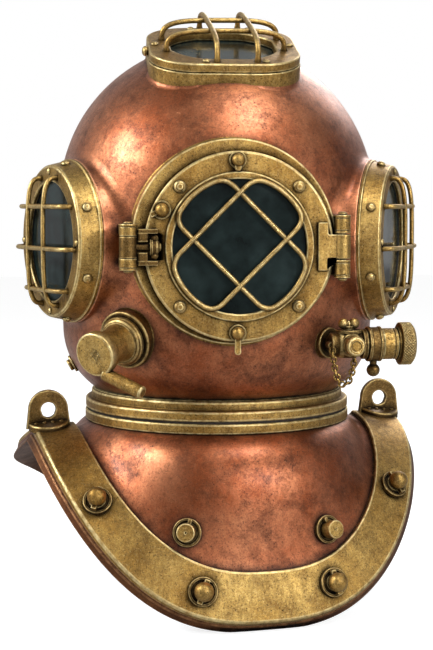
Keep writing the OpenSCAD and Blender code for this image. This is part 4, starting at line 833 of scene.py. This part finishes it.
drum = [(58.5, SEAT_D + 0.2), (DRUM_R, SEAT_D + 0.2, 0.5), (DRUM_R, SEAT_D + 2.9, 0.5),
        (DRUM_R - 1.5, SEAT_D + 3.7, 0.4), (FACE_R + 1, FACE_D - 1.6), (FACE_R - 0.8, FACE_D, 1.2),
        (SIDE_VIEW_R, FACE_D, 1.3), (SIDE_VIEW_R, FACE_D - 4), (58.5, FACE_D - 4)]
side_screws = []
for name, place in SIDE_PLACES.items():
    piece(f"{name}_port_collar", [saddle(place, 76, SEAT_D, 63, fillet=12, lean=0.1, r=1.0)])
    piece(f"{name}_port_frame", [lathe(drum, place, 0.6, 3, 160),
                                 saddle(place, 62.9, SEAT_D + 0.3, 58.5, fillet=0.2, r=0.1)])
    piece(f"{name}_port_glass", [plug(58, FACE_D - 10, FACE_D - 5, place)])
    face = place @ move(0, 0, FACE_D)
    grille = []
    for y in LEVEL_RODS:
        span = 2 * math.sqrt(FOOT_R ** 2 - y ** 2)
        grille.append(bow(span, GRILLE_RISE * math.sqrt(span / 2 / FOOT_R), face @ move(0, y, 0)))
    for x in UPRIGHT_RODS:
        grille.append(bow(2 * math.sqrt(FOOT_R ** 2 - x ** 2), GRILLE_RISE,
                          face @ move(x, 0, 0) @ turn("z", 90)))
    piece(f"{name}_port_guard", grille)
    for i in range(SIDE_SCREWS):
        around = (180 if name == "right" else 0) + (i + 0.5) * 360 / SIDE_SCREWS
        here = place @ turn("z", around) @ move((DRUM_R + FACE_R) / 2 + 0.1, 0, SEAT_D + 11.7)
        side_screws.append(screw(here @ turn("y", 90 - TAPER), 4, 3))
    for around in (0, 90, 180, 270):
        side_screws.append(screw(face @ turn("z", around) @ move((FOOT_R + FACE_R) / 2 - 1, 0, 0), 3, 2.2))
piece("side_port_screws", side_screws)

# %% [markdown]
# ## Top window
# The top window leans forward. Its outline is a square with wide corners, which no lathe makes, so its
# plates have that outline outside and a circle inside, with the same number of points on both. A dark gap
# between the two plates shows where the frame is screwed down.

# %% Build the top window
TOP_FACE, TOP_SPLIT, HALF_W, HALF_D, CORNER_R, TOP_VIEW_R = 154.4, 146.2, 69.4, 66.0, 42.0, 52.0
PLATE_POINTS = 192


def cushion_outline(grow=0.0):
    """Outline of the plates: four arcs of the corner radius, whose centres stand in from the half sizes,
    joined by straight sides. Every arc has a quarter of the points."""
    a = ring_angles(PLATE_POINTS, math.pi / PLATE_POINTS)
    x, y = np.cos(a), np.sin(a)
    return np.stack([np.sign(x) * (HALF_W - CORNER_R) + (CORNER_R + grow) * x,
                     np.sign(y) * (HALF_D - CORNER_R) + (CORNER_R + grow) * y], axis=1)


def matching_circle(outline, r):
    """Circle whose points lie in the same directions as the outline's."""
    return outline * r / np.linalg.norm(outline, axis=1, keepdims=True)


rim = cushion_outline()
hole = matching_circle(rim, TOP_VIEW_R)
piece("top_port_frame", [holed_plate(rim, hole, TOP_SPLIT, TOP_FACE, TOP_PLACE, 1.3)])
low_rim = cushion_outline(0.6)
BASE_LOW, BASE_TOP = 137.8, 145.8


def plate_on_wall(outline, hole_r, top, place, fillet, r=0.9):
    """Plate whose top is flat and whose underside follows the bonnet's wall, with a filleted foot."""
    foot = inset(outline, -fillet)
    hole = matching_circle(outline, hole_r)
    t = np.linspace(0, 1, 5)[:, None]
    height = np.maximum(top - wall_depth(place, outline[:, 0], outline[:, 1]), 1.0)
    rise = np.minimum(fillet, 0.5 * height)
    ground, far = top - height, wall_depth(place, foot[:, 0], foot[:, 1])
    flat = quadratic(t[..., None], foot, outline, outline)
    rolls = [(0, -1.4 * r), (0, -r), (0.3 * r, -0.3 * r), (r, 0), (1.4 * r, 0)]
    rows = [level(foot, far - 2)]
    rows += [level(f, u) for f, u in zip(flat, quadratic(t, far - 0.2, ground, ground + rise))]
    rows += [level(inset(outline, i), top + z) for i, z in rolls]
    rows += [level(hole, top), level(hole, wall_depth(place, hole[:, 0], hole[:, 1]) - 2)]
    return block(put(place, np.array(rows)), band_of(len(rows), 7, 10), wrap_rows=True)


piece("top_port_base", [plate_on_wall(low_rim, TOP_VIEW_R, BASE_TOP, TOP_PLACE, 0.4)])
piece("top_port_collar", [plate_on_wall(cushion_outline(0.2), TOP_VIEW_R + 6, BASE_LOW + 0.2, TOP_PLACE,
                                        4.0, 0.3)])
piece("top_port_glass", [plug(54.2, 141, 145.8, TOP_PLACE)])
top_face = TOP_PLACE @ move(0, 0, TOP_FACE) @ turn("z", 3)
grille = [bow(109, 18.5, top_face @ move(0, y, 0), 2.5) for y in (-20, 20)]
grille += [bow(117, 20.7, top_face @ move(x, 0, 0) @ turn("z", 90), 2.5) for x in (-13.5, 23.5)]
piece("top_port_guard", grille)
TOP_SCREWS = ((-20, -58), (34, -58), (-63, 0), (63, 0), (-25, 58), (30, 58))
studs = [screw(TOP_PLACE @ move(x, y, TOP_FACE), 3.4, 2.6) for x, y in TOP_SCREWS]
side_stud = TOP_PLACE @ move(-HALF_W, -8, TOP_FACE - 4.1) @ turn("y", -90)
studs += [plug(4, -0.6, 2.2, side_stud, 0.3), screw(side_stud @ move(0, 0, 2.1), 4.6, 3.6)]
piece("top_port_screws", studs)

# %% [markdown]
# ## Door fastenings
# Four round-headed screws hold the guard's ring. Above, below and to the left sit three clamp nuts: each is
# a ball on a round foot, and two of them have a tongue for the spanner.

# %% Fit the door fastenings


def ball_nut(place, foot_r, foot_h, ball_r):
    """Foot washer with a rolled rim, a short waist and a ball on it, all turned in one piece."""
    t = np.linspace(-0.7, math.pi / 2, 12)[:-1]
    head = [(ball_r * math.cos(v), foot_h + 0.62 * ball_r + ball_r * math.sin(v), 0) for v in t]
    return lathe([(0, -0.5), (foot_r, -0.5), (foot_r, foot_h, 1.0), (0.86 * foot_r, foot_h, 0.2),
                  (0.82 * foot_r, foot_h - 0.5, 0.2)] + head + [(0, foot_h + 1.62 * ball_r)],
                 place, 0.6, 3, 48)


door_face = DOOR_PLACE @ move(0, 0, DOOR_FRONT)
fastenings = [screw(door_face @ turn("z", 45 + 90 * i) @ move(73.5, 0, 0), 5.3, 4.2, 40) for i in range(4)]
left_nut = door_face @ turn("z", 154.7) @ move(75, 0, 0)
fastenings += [ball_nut(left_nut, 8.0, 3.2, 5.9),
               bar((4, -2.2, 0.5), (11, 2.2, 5), left_nut @ turn("z", 50), 0.7)]
for s in (-1, 1):
    here = door_face @ move(-1.8, s * 75, 0)
    fastenings.append(ball_nut(here, 7.4, 2.8, 5.6))
    low, high = (-9.5, -1) if s > 0 else (-19, -3)
    tongue, _ = soften([(-2.6, high), (-2.9, low + 2), (-1.6, low), (1.6, low), (2.9, low + 2),
                        (2.6, high)], 1.0)
    fastenings.append(plate(tongue, 1.2, 6.2 if s > 0 else 5.0, here, 0.9))
piece("door_bolts", fastenings)

# %% [markdown]
# ## Neck
# Bonnet and corselet meet in two turned brass rings with a leather washer between them. The upper ring
# carries a spigot that screws into the lower one. Each ring is a band with softened rims, so the joint
# shows as a black line between two bright edges.

# %% Turn the neck rings
piece("bonnet_neck_ring", [lathe([(108, -11), (116, -11), (116, 1), (128, 1, 1.6), (128, 10, 1.6),
                                  (122.5, 11, 0.6), (122.2, 17.4, 1.4), (120.2, 19.4, 0.8), (118.4, 20),
                                  (108, 20)], UPRIGHT, 0.6, 4, 224)])
piece("corselet_neck_ring", [lathe([(116.4, -1), (128.5, -1, 1.6), (128.5, -10, 1.6), (125.6, -10.8),
                                    (123.2, -10), (123.2, -17), (108, -17), (108, -13.3), (116.4, -13.3)],
                                   UPRIGHT, 0.6, 4, 224)])
piece("neck_washer", [lathe([(116.4, -1), (125.6, -1), (125.6, 1), (116.4, 1)], UPRIGHT, 0.3, 2, 160)])

# %% [markdown]
# ## Corselet
# The breastplate was beaten from sheet, and three curves round the body carry its shape: the neck, the edge
# of the bare copper and the rim. Each is a superellipse seen from above. In front it drops with the square
# of its depth, and behind it swells over the shoulder blades. Between neck and bare edge the surface is a
# cubic curve, and beyond it a straight band. A point on it is named by an angle a and a share u: 0 at the
# neck, 1 at the edge of the bare copper and 2 at the rim. Bands, rim and studs are all set on the same
# surface, at heights over it.

# %% Describe the breastplate
CORSELET = turn("z", 10)
BAND_W, BAND_T, NECK_R, NECK_TOP, NECK_SLOPE = 42.0, 5.0, 126, -10, math.radians(25)
# Half width, half depth, height at the shoulders and height at breast and back of the two lower curves.
BARE_EDGE, RIM_EDGE = (142, 164.5, -16, -127.5), (181, 172.5, -19, -171)


def lobe(a, half_w, half_d):
    """Radius of the superellipse with these half sizes: (|cos a| / w)^n + (|sin a| / d)^n = r^-n. The
    power and the width differ in front and behind."""
    front = np.sin(a) < 0
    n = np.where(front, 2.6, 2.3)
    w = half_w * np.where(front, 1, 1 + 0.22 * np.sin(a))
    return ((np.abs(np.cos(a)) / w) ** n + (np.abs(np.sin(a)) / half_d) ** n) ** (-1 / n)


def edge_curve(a, half_w, half_d, high, low):
    """Point of a curve that lies high at the shoulders and low at the breast and the back."""
    r = lobe(a, half_w, half_d)
    s = r * np.sin(a) / half_d
    behind = np.maximum(s, 0)
    share = np.where(s < 0, s ** 2, 0.4 * behind ** 0.9 + 0.6 * behind ** 9)
    return spun(r, a, high + (low - high) * share)


def shell_point(a, u):
    """Point of the breastplate: a cubic from the neck to the bare edge, and from there a straight line."""
    a, u = np.broadcast_arrays(np.asarray(a, float), np.asarray(u, float))
    neck, start = spun(NECK_R, a, NECK_TOP), spun(math.cos(NECK_SLOPE), a, -math.sin(NECK_SLOPE))
    bare, rim = edge_curve(a, *BARE_EDGE), edge_curve(a, *RIM_EDGE)
    size = np.linalg.norm(bare - neck, axis=-1, keepdims=True)
    down = unit(rim - bare)
    u = u[..., None]
    v = np.clip(u, 0, 1)
    cubic = (1 - v) ** 3 * neck + 3 * (1 - v) ** 2 * v * (neck + 0.35 * size * start) \
        + 3 * (1 - v) * v * v * (bare - 0.45 * size * down) + v ** 3 * bare
    return np.where(u > 1, bare + (rim - bare) * (u - 1), cubic)


def shell_normal(a, u):
    """Outward unit normal: the cross product of two small steps along the surface."""
    d, w = 0.02, np.clip(u, 0.02, 1.98)
    round_the_body = shell_point(a - d / 50, w) - shell_point(a + d / 50, w)
    return unit(np.cross(round_the_body, shell_point(a, w + d) - shell_point(a, w - d)))


def over_shell(a, u, h):
    """Point at a height h over the breastplate, in the helmet's frame."""
    return put(CORSELET, shell_point(a, u) + np.asarray(h)[..., None] * shell_normal(a, u))


def strip(corners, angles, r, steps=3, whole=True, uneven=0.0, seed=1):
    """Band on the breastplate: a softened profile of (distance past the bare edge, height) corners,
    carried along the angles. Where it is uneven it has dents along the surface's normal."""
    p, mark = soften(corners, r, steps)
    points = over_shell(angles[:, None], 1 + p[None, :, 0] / BAND_W, p[None, :, 1] + 0 * angles[:, None])
    if uneven:
        points = points + shell_normal(angles[:, None], 1.5 + 0 * p[None, :, 0]) @ CORSELET[:3, :3].T \
            * dents(points, uneven, 45, seed)
    return block(points, mark[None, :], wrap_rows=whole)


# %% Beat the copper, and lay the rim and the bands on it
round_a = ring_angles(256)
u = np.concatenate([np.linspace(0, 1, 30)[:-1], np.linspace(1, 2.05, 12)])
u, h = np.concatenate([u, [2.06, 2.06], u[::-1]]), np.concatenate([0 * u, [-0.5, -2], 0 * u - 2.5])
sheet = over_shell(round_a[:, None], u[None, :], h[None, :] + 0 * round_a[:, None])
normal = shell_normal(round_a[:, None], np.clip(u, 0, 2)[None, :]) @ CORSELET[:3, :3].T
sheet += normal * dents(sheet, amount=0.2, pitch=60, seed=11) * np.clip(u * 8, 0, 1)[None, :, None]
piece("corselet_shell", [block(sheet, wrap_rows=True)])
# The helmet stands on the rim, which is flat below at the breast and at the back.
STAND_Z = -180.0
rim = strip([(26, -2.8), (45.8, -2.8), (51.2, -8.5), (26, -8.5)], round_a, 1.3)
rim[0][:, 2] = np.maximum(rim[0][:, 2], STAND_Z)
piece("cast_rim", [rim])
band_corners = [(0, 0.3), (0, BAND_T, 1.5), (BAND_W, BAND_T, 1.8), (BAND_W + 2.5, 0.3)]
for name, start in (("front_band", -180), ("rear_band", 0)):
    span = np.radians(np.linspace(start + 0.4, start + 179.6, 150))
    piece(name, [strip(band_corners, span, 0.6, 4, whole=False, uneven=0.12, seed=start + 190)])

# %% [markdown]
# ## Studs and nuts
# Eight studs stand through the bands. Each has a grooved washer, a ball nut and square tabs for the
# spanner. Two plain studs stand on the breast. They are turned parts set upright on the surface, so one
# function gives the place of each, with local z along the surface's normal. Each nut is turned a little
# differently, as hands left it.

# %% Set the studs


def along_z(way):
    """Turn that brings local z on to a direction of length one."""
    return turn("z", math.degrees(math.atan2(way[1], way[0]))) @ turn("y", math.degrees(math.acos(way[2])))


def upright_on_shell(degrees, u, h):
    """Place on the corselet whose local z is the surface's normal."""
    a = math.radians(degrees)
    n = shell_normal(a, u)
    p = shell_point(a, u) + h * n
    return CORSELET @ move(*p) @ along_z(n)


STUDS_AT = [a for s in (37.2, 70) for a in (-s, s - 180, s, 180 - s)]
NUT_TURNS, CHEST_STUDS_AT = (8, -14, 20, -6, 12, -22, 5, -9), (-68.8, -114.8)
STUD_SHARE, CHEST_SHARE, NUT_R, NUT_MIDDLE = 1.51, 0.85, 8.6, 6.4
washer = [(0, 0), (13, 0), (13, 3.6, 1.1), (10.9, 3.6, 0.3), (10.4, 2.5, 0.3), (8, 2.5, 0.3),
          (7.5, 3.6, 0.4), (5.5, 3.6), (5.5, 7), (0, 7)]
t = np.radians(np.linspace(-46, 90, 16))[:-1]
nut_head = [(NUT_R * math.cos(v), NUT_MIDDLE + NUT_R * math.sin(v), 0) for v in t]
nut_turned = [(0, 0), (6.6, 0)] + nut_head + [(0, 15.0)]
studs, nuts = [], []
for a, by_hand in zip(STUDS_AT, NUT_TURNS):
    studs.append(lathe(washer, upright_on_shell(a, STUD_SHARE, 5.9), 0.5, 3, 56))
    here = upright_on_shell(a, STUD_SHARE, 9.7) @ turn("z", by_hand)
    nuts.append(lathe(nut_turned, here, 0.6, 3, 48))
    nuts.append(bar((5, -2.4, 0.3), (11.3, 2.4, 5), here, 0.6))
    nuts.append(bar((-11.1, -2.4, 0.3), (-5, 2.4, 4.8), here, 0.6))
piece("band_studs", studs)
piece("band_nuts", nuts)
collar = [(8.5, 0), (12.7, 0), (12.7, 3.6, 1.2), (10.7, 3.6, 0.4), (10.2, 2.4, 0.3), (8.5, 2.4)]
post = [(0, 0), (8.2, 0), (8.2, 15.8, 0.9), (1.2, 15.8, 0.2), (0.7, 15.1, 0.2), (0, 15.1)]
bases, posts = [], []
for k, a in enumerate(CHEST_STUDS_AT):
    here = upright_on_shell(a, CHEST_SHARE, 0.5)
    bases.append(lathe(collar, here, 0.4, 3, 56))
    posts.append(lathe(post, here, 0.4, 3, 48))
    posts.append(bar((-12.4, -1.6, 4.2), (-7, 1.6, 8.4), here @ turn("z", 24 - 40 * k), 0.6))
piece("chest_stud_bases", bases)
piece("chest_studs", posts)

# %% [markdown]
# ## Shoulder lugs
# On each shoulder an upright lug with a round hole covers the joint of the bands. Its lower edge and its
# riveted foot follow the band, so their heights are looked up on the surface, by halving the share u until
# the point lies at the right distance from the axis.

# %% Raise the lugs


def band_top(x, y):
    """Height of the bands' upper face at a point seen from above, in the corselet's own frame."""
    a, far = np.arctan2(y, x), np.hypot(x, y)

    def upper(u):
        return shell_point(a, u) + BAND_T * shell_normal(a, u)

    def short(u):
        return np.hypot(upper(u)[..., 0], upper(u)[..., 1]) < far

    return upper(halving(short, 0.6 + 0 * a, 2.6 + 0 * a, 24))[..., 2]


LUG_X, LUG_Y, LUG_R, HOLE_Z, HOLE_R, LUG_T, FOOT_DEEP = 168.0, -6.0, 19.0, 2.0, 7.2, 6.0, 17.0
RIVETS_AT = (-12.5, -4.5, 3.5, 11.5)
# Rows of the lug's foot: how far they stand in, their height over the band and the mark for rubbed metal.
FOOT_ROWS = ((0, -2, 0), (0, 2.6, 0), (0, 3.1, 1), (0.3, 3.9, 1), (1.1, 4.3, 1), (1.6, 4.3, 0))
for name, s in (("left_lug", -1), ("right_lug", 1)):
    x = np.linspace(-LUG_R - 2, LUG_R + 2, 17)
    arch = np.linspace(0, np.pi, 41)
    outline = np.concatenate([level(x[:, None], band_top(s * LUG_X + x, LUG_Y + 0 * x) - 1.2),
                              spun(LUG_R, arch, 0)[:, :2] + (0, HOLE_Z)])
    middle = np.array([0, HOLE_Z])
    hole = middle + matching_circle(outline - middle, HOLE_R)
    stand = CORSELET @ move(s * LUG_X, LUG_Y, 0) @ turn("x", 90)
    lug = [holed_plate(outline, hole, -LUG_T / 2, LUG_T / 2, stand, 1.1)]
    plan = spun(1, np.linspace(np.pi, TURN, 49), 0)[:, :2] * (LUG_R, FOOT_DEEP)
    plan = np.concatenate([plan, level(np.linspace(LUG_R, -LUG_R, 17)[1:-1, None], 0.0)])
    rows = [(inset(plan, shrink), rise) for shrink, rise, _ in FOOT_ROWS]
    rows += [(plan * share - (0, back), 4.3) for share, back in ((0.6, 3), (0.25, 4), (0, 5))]
    grid = []
    for row, rise in rows:
        q = row + (s * LUG_X, LUG_Y - LUG_T / 2)
        grid.append(level(q, band_top(q[:, 0], q[:, 1]) + rise))
    mark = np.array([rub for *_, rub in FOOT_ROWS] + [0, 0, 0])[:, None]
    lug.append(block(put(CORSELET, np.array(grid)), mark))
    for x in RIVETS_AT:
        x, y = s * LUG_X + x, LUG_Y - LUG_T / 2 - 4.2
        lug.append(ball(2.3, CORSELET @ move(x, y, band_top(np.array(x), np.array(y)) + 4.2), 0.75, 20))
    piece(name, lug, slot="dark_brass")

# %% [markdown]
# ## Exhaust valve
# Low on the left sits the exhaust valve: a stepped flange on the wall, a short body and a knob with a rod
# for a lever, which lies across the knob's side.

# %% Build the exhaust valve
EXHAUST = facing(-38, 77) @ move(0, 0, WAIST_R - 1) @ turn("x", 12)
KNOB_NEAR, KNOB_FAR, KNOB_R, PIT_R, PIT_DEPTH = 42.5, 52.5, 19.7, 7.0, 1.7
piece("exhaust_base", [
    saddle(EXHAUST, 26.4, 7, 10, fillet=1.4, r=1.4, near=-60, far=60),
    lathe([(10, 6.4), (20.6, 6.4), (22.4, 8.4, 1), (22.4, 11.2, 2.2), (20, 14, 2), (17.6, 15), (10, 15)],
          EXHAUST, 0.6, 5)])
piece("exhaust_body", [
    lathe([(0, 15), (17.6, 15, 0.4), (16.6, 18, 2), (15.6, 23, 3), (15.6, 42.2), (0, 42.2)], EXHAUST,
          0.5, 4)])


def pitted_knob():
    """Disc with rounded rims. Its face sinks by h = d w (f(x) f(y) + 1) / 2, where f is a sum of sines
    of rising pitch and w = exp(-(r / PIT_R)^2) keeps the pits near the centre."""
    rim = 1.7
    corner = np.linspace(0, np.pi / 2, 6)
    flat = np.linspace(KNOB_R - rim, 0.02, 40)
    reach = np.concatenate([[0.02], KNOB_R - rim + rim * np.sin(corner),
                            KNOB_R - rim + rim * np.cos(corner), flat[1:]])
    up = np.concatenate([[KNOB_NEAR], KNOB_NEAR + rim - rim * np.cos(corner),
                         KNOB_FAR - rim + rim * np.sin(corner), np.full(len(flat) - 1, KNOB_FAR)])
    a = ring_angles(96)
    x, y = reach[:, None] * np.cos(a), reach[:, None] * np.sin(a)
    rough = sum(np.sin(k * 0.9 * x + k * k) * np.sin(k * 0.83 * y - 2 * k) for k in (1, 2, 3, 5)) / 2.4
    near_centre = np.exp(-(np.hypot(x - 1, y + 1) / PIT_R) ** 2) * (up[:, None] == KNOB_FAR)
    z = up[:, None] - PIT_DEPTH * near_centre * (0.5 + 0.5 * rough)
    pits = np.clip(band_of(len(reach), 7, 13) + near_centre * (rough > 0.25) * 0.8, 0, 1)
    return block(put(EXHAUST, np.stack([x, y, z], axis=-1)), pits, wrap_rows=True)


lever = EXHAUST @ turn("z", -21.5) @ move(11.7, -14.7, KNOB_NEAR + 5.9) @ turn("y", 90)
piece("exhaust_knob", [
    pitted_knob(),
    lathe([(0, 0), (5.8, 0), (5.8, 41.3, 1.9), (0, 41.3)], lever, 0.8, 4, 48),
    plug(4, 22, 43, EXHAUST, 0.4, 2, 32)])

# %% [markdown]
# ## Supply cock
# Low on the right the air supply comes in through a cock: a body on a short neck, a plug that faces the
# front, a thumb screw on top, a collar with a ball lever, a tube and a knurled handwheel. Knurling is two
# sets of slanting ridges that cross: the radius falls with the product of two sines, one slanting each way.

# %% Build the supply cock
COCK_D, COCK_ANGLE, COCK_Z = 170.5, math.radians(36.4), 71.5
COCK = move(COCK_D * math.sin(COCK_ANGLE), -COCK_D * math.cos(COCK_ANGLE), COCK_Z) @ turn("z", 3)
ALONG = COCK @ turn("y", 90)
COCK_FOOT = facing(math.degrees(COCK_ANGLE), COCK_Z)
EYE_R, EYE_WIRE = 3.0, 0.8


def eye(place):
    """Small ring of wire about the local z axis."""
    return rod(spun(EYE_R, ring_angles(28), 0), EYE_WIRE, (0, 0, 1), place, 10, True)


piece("cock_base", [saddle(COCK_FOOT, 14, 153.5, 5, fillet=1.2, r=1.0, sides=96),
                    lathe([(5, 152.6), (8, 152.6), (8, 167), (5, 167)], COCK_FOOT, 0.4, 2, 48)])
cock_top = COCK @ move(4, 0, 0)
PLUG = COCK @ move(3.6, 0, 0) @ turn("z", 5) @ turn("x", 90)
BODY_EYE, PLUG_EYE = COCK @ move(-14, -13, 0), PLUG @ move(0, -11.4, 17)
piece("cock_body", [
    lathe([(0, -13), (10.5, -13, 2.2), (10.5, -9, 2), (12.4, -4, 4), (12.6, 9, 4), (10.8, 14, 1),
           (10.8, 15.6, 0.3), (13.5, 15.6, 0.9), (13.5, 20, 0.9), (0, 20)], ALONG, 0.6, 5, 72),
    lathe([(0, 0), (10.5, 0), (9, 9.5, 2), (11.5, 10.5, 0.9), (11.5, 13.1, 0.9), (0, 13.1)], cock_top, 0.5,
          4, 56),
    lathe([(0, 0), (11.4, 0), (10.4, 10.4, 1), (7, 12, 1), (0, 12)], PLUG, 0.5, 4, 56),
    lathe([(0, 0), (3.2, 0), (3.2, 10.2, 1), (0, 10.2)], COCK @ move(-14, 0, 0) @ turn("x", 90), 0.5, 3, 28),
    eye(BODY_EYE @ turn("y", 90))])
piece("cock_plug", [
    lathe([(0, 2), (6, 2), (6, 11.8, 0.2), (9, 11.8, 0.9), (9, 15.2, 0.3), (8.5, 15.7, 0.2),
           (8.5, 16.3, 0.2), (9, 16.8, 0.3), (9, 22.4, 0.6), (7.4, 24, 0.9), (5, 24, 0.4), (4.5, 23.1, 0.3),
           (0, 23.1)], PLUG, 0.4, sides=64),
    eye(PLUG_EYE @ turn("y", 90))])
screw_top = [(0, 6.6), (2.5, 6.6), (2.5, 13.3, 0.1), (4.4, 13.3, 0.6), (4.4, 16.3, 0.8), (3, 16.6, 0.4),
             (3, 19.5, 0.8), (0, 20.6)]
piece("thumb_screw", [lathe(screw_top, cock_top, 0.5, 3, 40),
                      bar((-5, -1.5, 17), (5, 1.5, 21), cock_top, 0.8)]
      + [ball(5.0, cock_top @ move(s * 4.8, 0, 18.6) @ turn("x", 90), 0.8, 28) for s in (-1, 1)])
piece("cock_lever", [
    lathe([(9.1, 20.6), (15.8, 20.6, 1.3), (15.8, 22.9, 0.8), (15.1, 23.9, 0.6), (15.1, 30, 0.6),
           (15.8, 31, 0.8), (15.8, 33.2, 1.1), (9.1, 33.2)], ALONG, 0.4, 3, 96),
    lathe([(0, 0), (3.6, 0), (3.0, 7), (3.6, 11), (0, 11)], ALONG @ move(12.6, 0, 26.9) @ turn("y", 90),
          0.5, 3, 32),
    ball(6, ALONG @ move(23.5, 0, 26.9) @ turn("y", 90), 1.0, 36)])
piece("outlet_tube", [
    lathe([(0, 20.3), (9, 20.3), (9, 33.4, 0.1), (14, 33.5, 1.2), (14, 43.6, 0.2), (13.3, 44.1, 0.2),
           (13.3, 44.7, 0.2), (14, 45.2, 0.2), (14, 47.6, 0.9), (0, 47.6)], ALONG, 0.4)])
WHEEL_NEAR, WHEEL_R, RIDGES, SLANT = 48.1, 19.4, 22, 1.15
a = ring_angles(12 * RIDGES)
z = np.linspace(WHEEL_NEAR + 2.4, WHEEL_NEAR + 12.6, 17)[:, None]
cut = 1 - np.abs(np.sin(RIDGES * a + SLANT * z) * np.sin(RIDGES * a - SLANT * z))
# The rows below and above the knurling: radius, height and the mark for rubbed metal.
hub = np.array([(0, 0, 0), (15, 0, 0), (15, 1.9, 0), (15.3, 2, 0), (18, 2, 0)])[..., None] + 0 * a
rim = np.array([(18, 13.1, 0.6), (16.8, 14.3, 1), (16.0, 14.8, 1), (13.2, 15, 0), (12.6, 14.3, 0),
                (6.4, 14.3, 0), (5.8, 15, 0), (0, 15, 0)])[..., None] + 0 * a
reach = np.vstack([hub[:, 0], WHEEL_R - cut, rim[:, 0]])
up = np.vstack([WHEEL_NEAR + hub[:, 1], z + 0 * a, WHEEL_NEAR + rim[:, 1]])
mark = np.vstack([hub[:, 2], 1 - cut, rim[:, 2]])
piece("handwheel", [block(put(ALONG, spun(reach, a, up)), mark, wrap_rows=True),
                    plug(4, 37, 49, ALONG, 0.3, 2, 32)], sharp=50)

# %% [markdown]
# ## Keeper chain
# A chain keeps the plug from being lost. It hangs in a catenary, the curve of a chain under its own weight,
# from an eye on the body to an eye on the plug. The sag is found by halving, so that the curve has the
# chain's length. The arc length of a catenary has a closed form, and this sets the links at an even pitch.
# Every second link is turned a quarter.

# %% Hang the chain
CHAIN_L, LINKS, WIRE, LINK_HALF_W = 60.0, 15, 0.9, 2.35
below = np.array([0, 0, EYE_R - EYE_WIRE - 0.1])
start, end = BODY_EYE[:3, 3] - below, PLUG_EYE[:3, 3] - below
gap, fall = math.hypot(*(end - start)[:2]), end[2] - start[2]
level_l = math.sqrt(CHAIN_L ** 2 - fall ** 2)
sag = float(halving(lambda s: 2 * s * math.sinh(gap / 2 / s) > level_l, gap / 20, gap * 4, 40))
x0 = sag * math.log(math.sqrt((CHAIN_L + fall) / (CHAIN_L - fall))) - gap / 2
s0 = sag * math.sinh(x0 / sag)


def chain_at(s):
    """Point of the catenary at arc length s from its start."""
    t = (sag * math.asinh((s + s0) / sag) - x0) / gap
    rise = math.hypot(s + s0, sag) - math.hypot(s0, sag)
    return np.array([*(start[:2] + (end - start)[:2] * t), start[2] + rise])


pitch = CHAIN_L / LINKS
half_l = pitch / 2 + WIRE + 0.1
a = ring_angles(20)
oval = np.stack([LINK_HALF_W * np.cos(a), 0 * a, half_l * np.sin(a)], axis=1)
links = []
for i in range(LINKS):
    s = (i + 0.5) * pitch
    way = unit(chain_at(s + 0.1) - chain_at(s - 0.1))
    place = move(*chain_at(s)) @ along_z(way) @ turn("z", i % 2 * 90)
    links.append(rod(oval, WIRE, (0, 1, 0), place, 8, True, wear=0.5))
piece("keeper_chain", links)
print("chain: sag constant", round(sag, 2), "pitch", round(pitch, 2))

# %% [markdown]
# ## Side boss
# A small boss with a plug sits low on the left, behind the exhaust valve. Its foot is sunk into the copper.

# %% Build the side boss
boss = facing(-86, 44) @ move(0, 0, 139) @ turn("x", 29)
piece("side_boss", [lathe([(0, -6), (8.6, -6), (8.6, 3.2, 1.2), (5.6, 3.2, 0.4), (5.6, 6.6, 1.6), (0, 6.6)],
                          boss, 0.5, 4, 48)], body=body_of["bonnet_shell"], slot="brass")

# %% [markdown]
# ## Rear fittings
# Behind are two elbows, one for the air hose and one, capped, for the speech line. A pipe is a circle
# carried along a path, outside and inside, so its mouth is open.

# %% Bend the elbows


def pipe(path, r, bore, place):
    """Open pipe along a path across local x: circles of the radii r on the way out, a rolled lip at the
    end, and circles of the bore on the way back."""
    along = unit(np.gradient(path, axis=0))
    spoke = spokes(along, (1, 0, 0), 48)
    lip = [path[-1] + along[-1] * up + reach * spoke[-1] for reach, up in (
        (r[-1], 0.5), (r[-1] - 0.4, 1.2), (r[-1] - 1.2, 1.5), (bore + 0.6, 1.5), (bore, 0.8))]
    rows = np.concatenate([path[:, None] + r[:, None, None] * spoke, lip,
                           (path[:, None] + bore * spoke)[::-1]])
    return block(put(place, rows), band_of(len(rows), len(path), len(path) + 3), wrap_rows=True)


BEND, BEND_D, ELBOW_R, ELBOW_BORE, ELBOW_ANGLE, ELBOW_Z, ELBOW_LEAN = 26, 160.5, 12.6, 8, 24, 132, 62
t = np.linspace(0, np.pi / 2, 17)
y = np.concatenate([(0, 0, 0), BEND * np.cos(t) - BEND, -BEND - np.array([2, 6, 10, 11, 12, 16.5])])
z = np.concatenate([(142.5, 150, 157), BEND_D + BEND * np.sin(t), np.full(6, BEND_D + BEND)])
elbow_path = np.stack([0 * y, y, z], axis=1)
elbow_r = np.concatenate([np.full(len(y) - 3, ELBOW_R), ELBOW_R + np.array([0.4, 0.8, 0.8])])
for name, s in (("left_elbow", 1), ("right_elbow", -1)):
    place = facing(180 + s * ELBOW_ANGLE, ELBOW_Z) @ turn("z", s * ELBOW_LEAN)
    piece(name, [pipe(elbow_path, elbow_r, ELBOW_BORE, place),
                 saddle(place, 22, 155.5, 11, fillet=2.5, r=1.2, sides=96),
                 lathe([(12, 155), (15.5, 155), (15.5, 158.5, 1), (12, 158.5)], place, 0.5, 3, 64)])
    if s > 0:
        mouth = place @ move(0, -BEND, BEND_D + BEND) @ turn("x", 90)
        six, _ = soften(spun(15.6, ring_angles(6), 0)[:, :2], 1.6)
        piece("left_elbow_cap", [plate(six, 18.2, 26.4, mouth, 1.2), plug(7.7, 10, 19, mouth),
                                 screw(mouth @ move(0, 0, 26.4), 6, 1.6)])
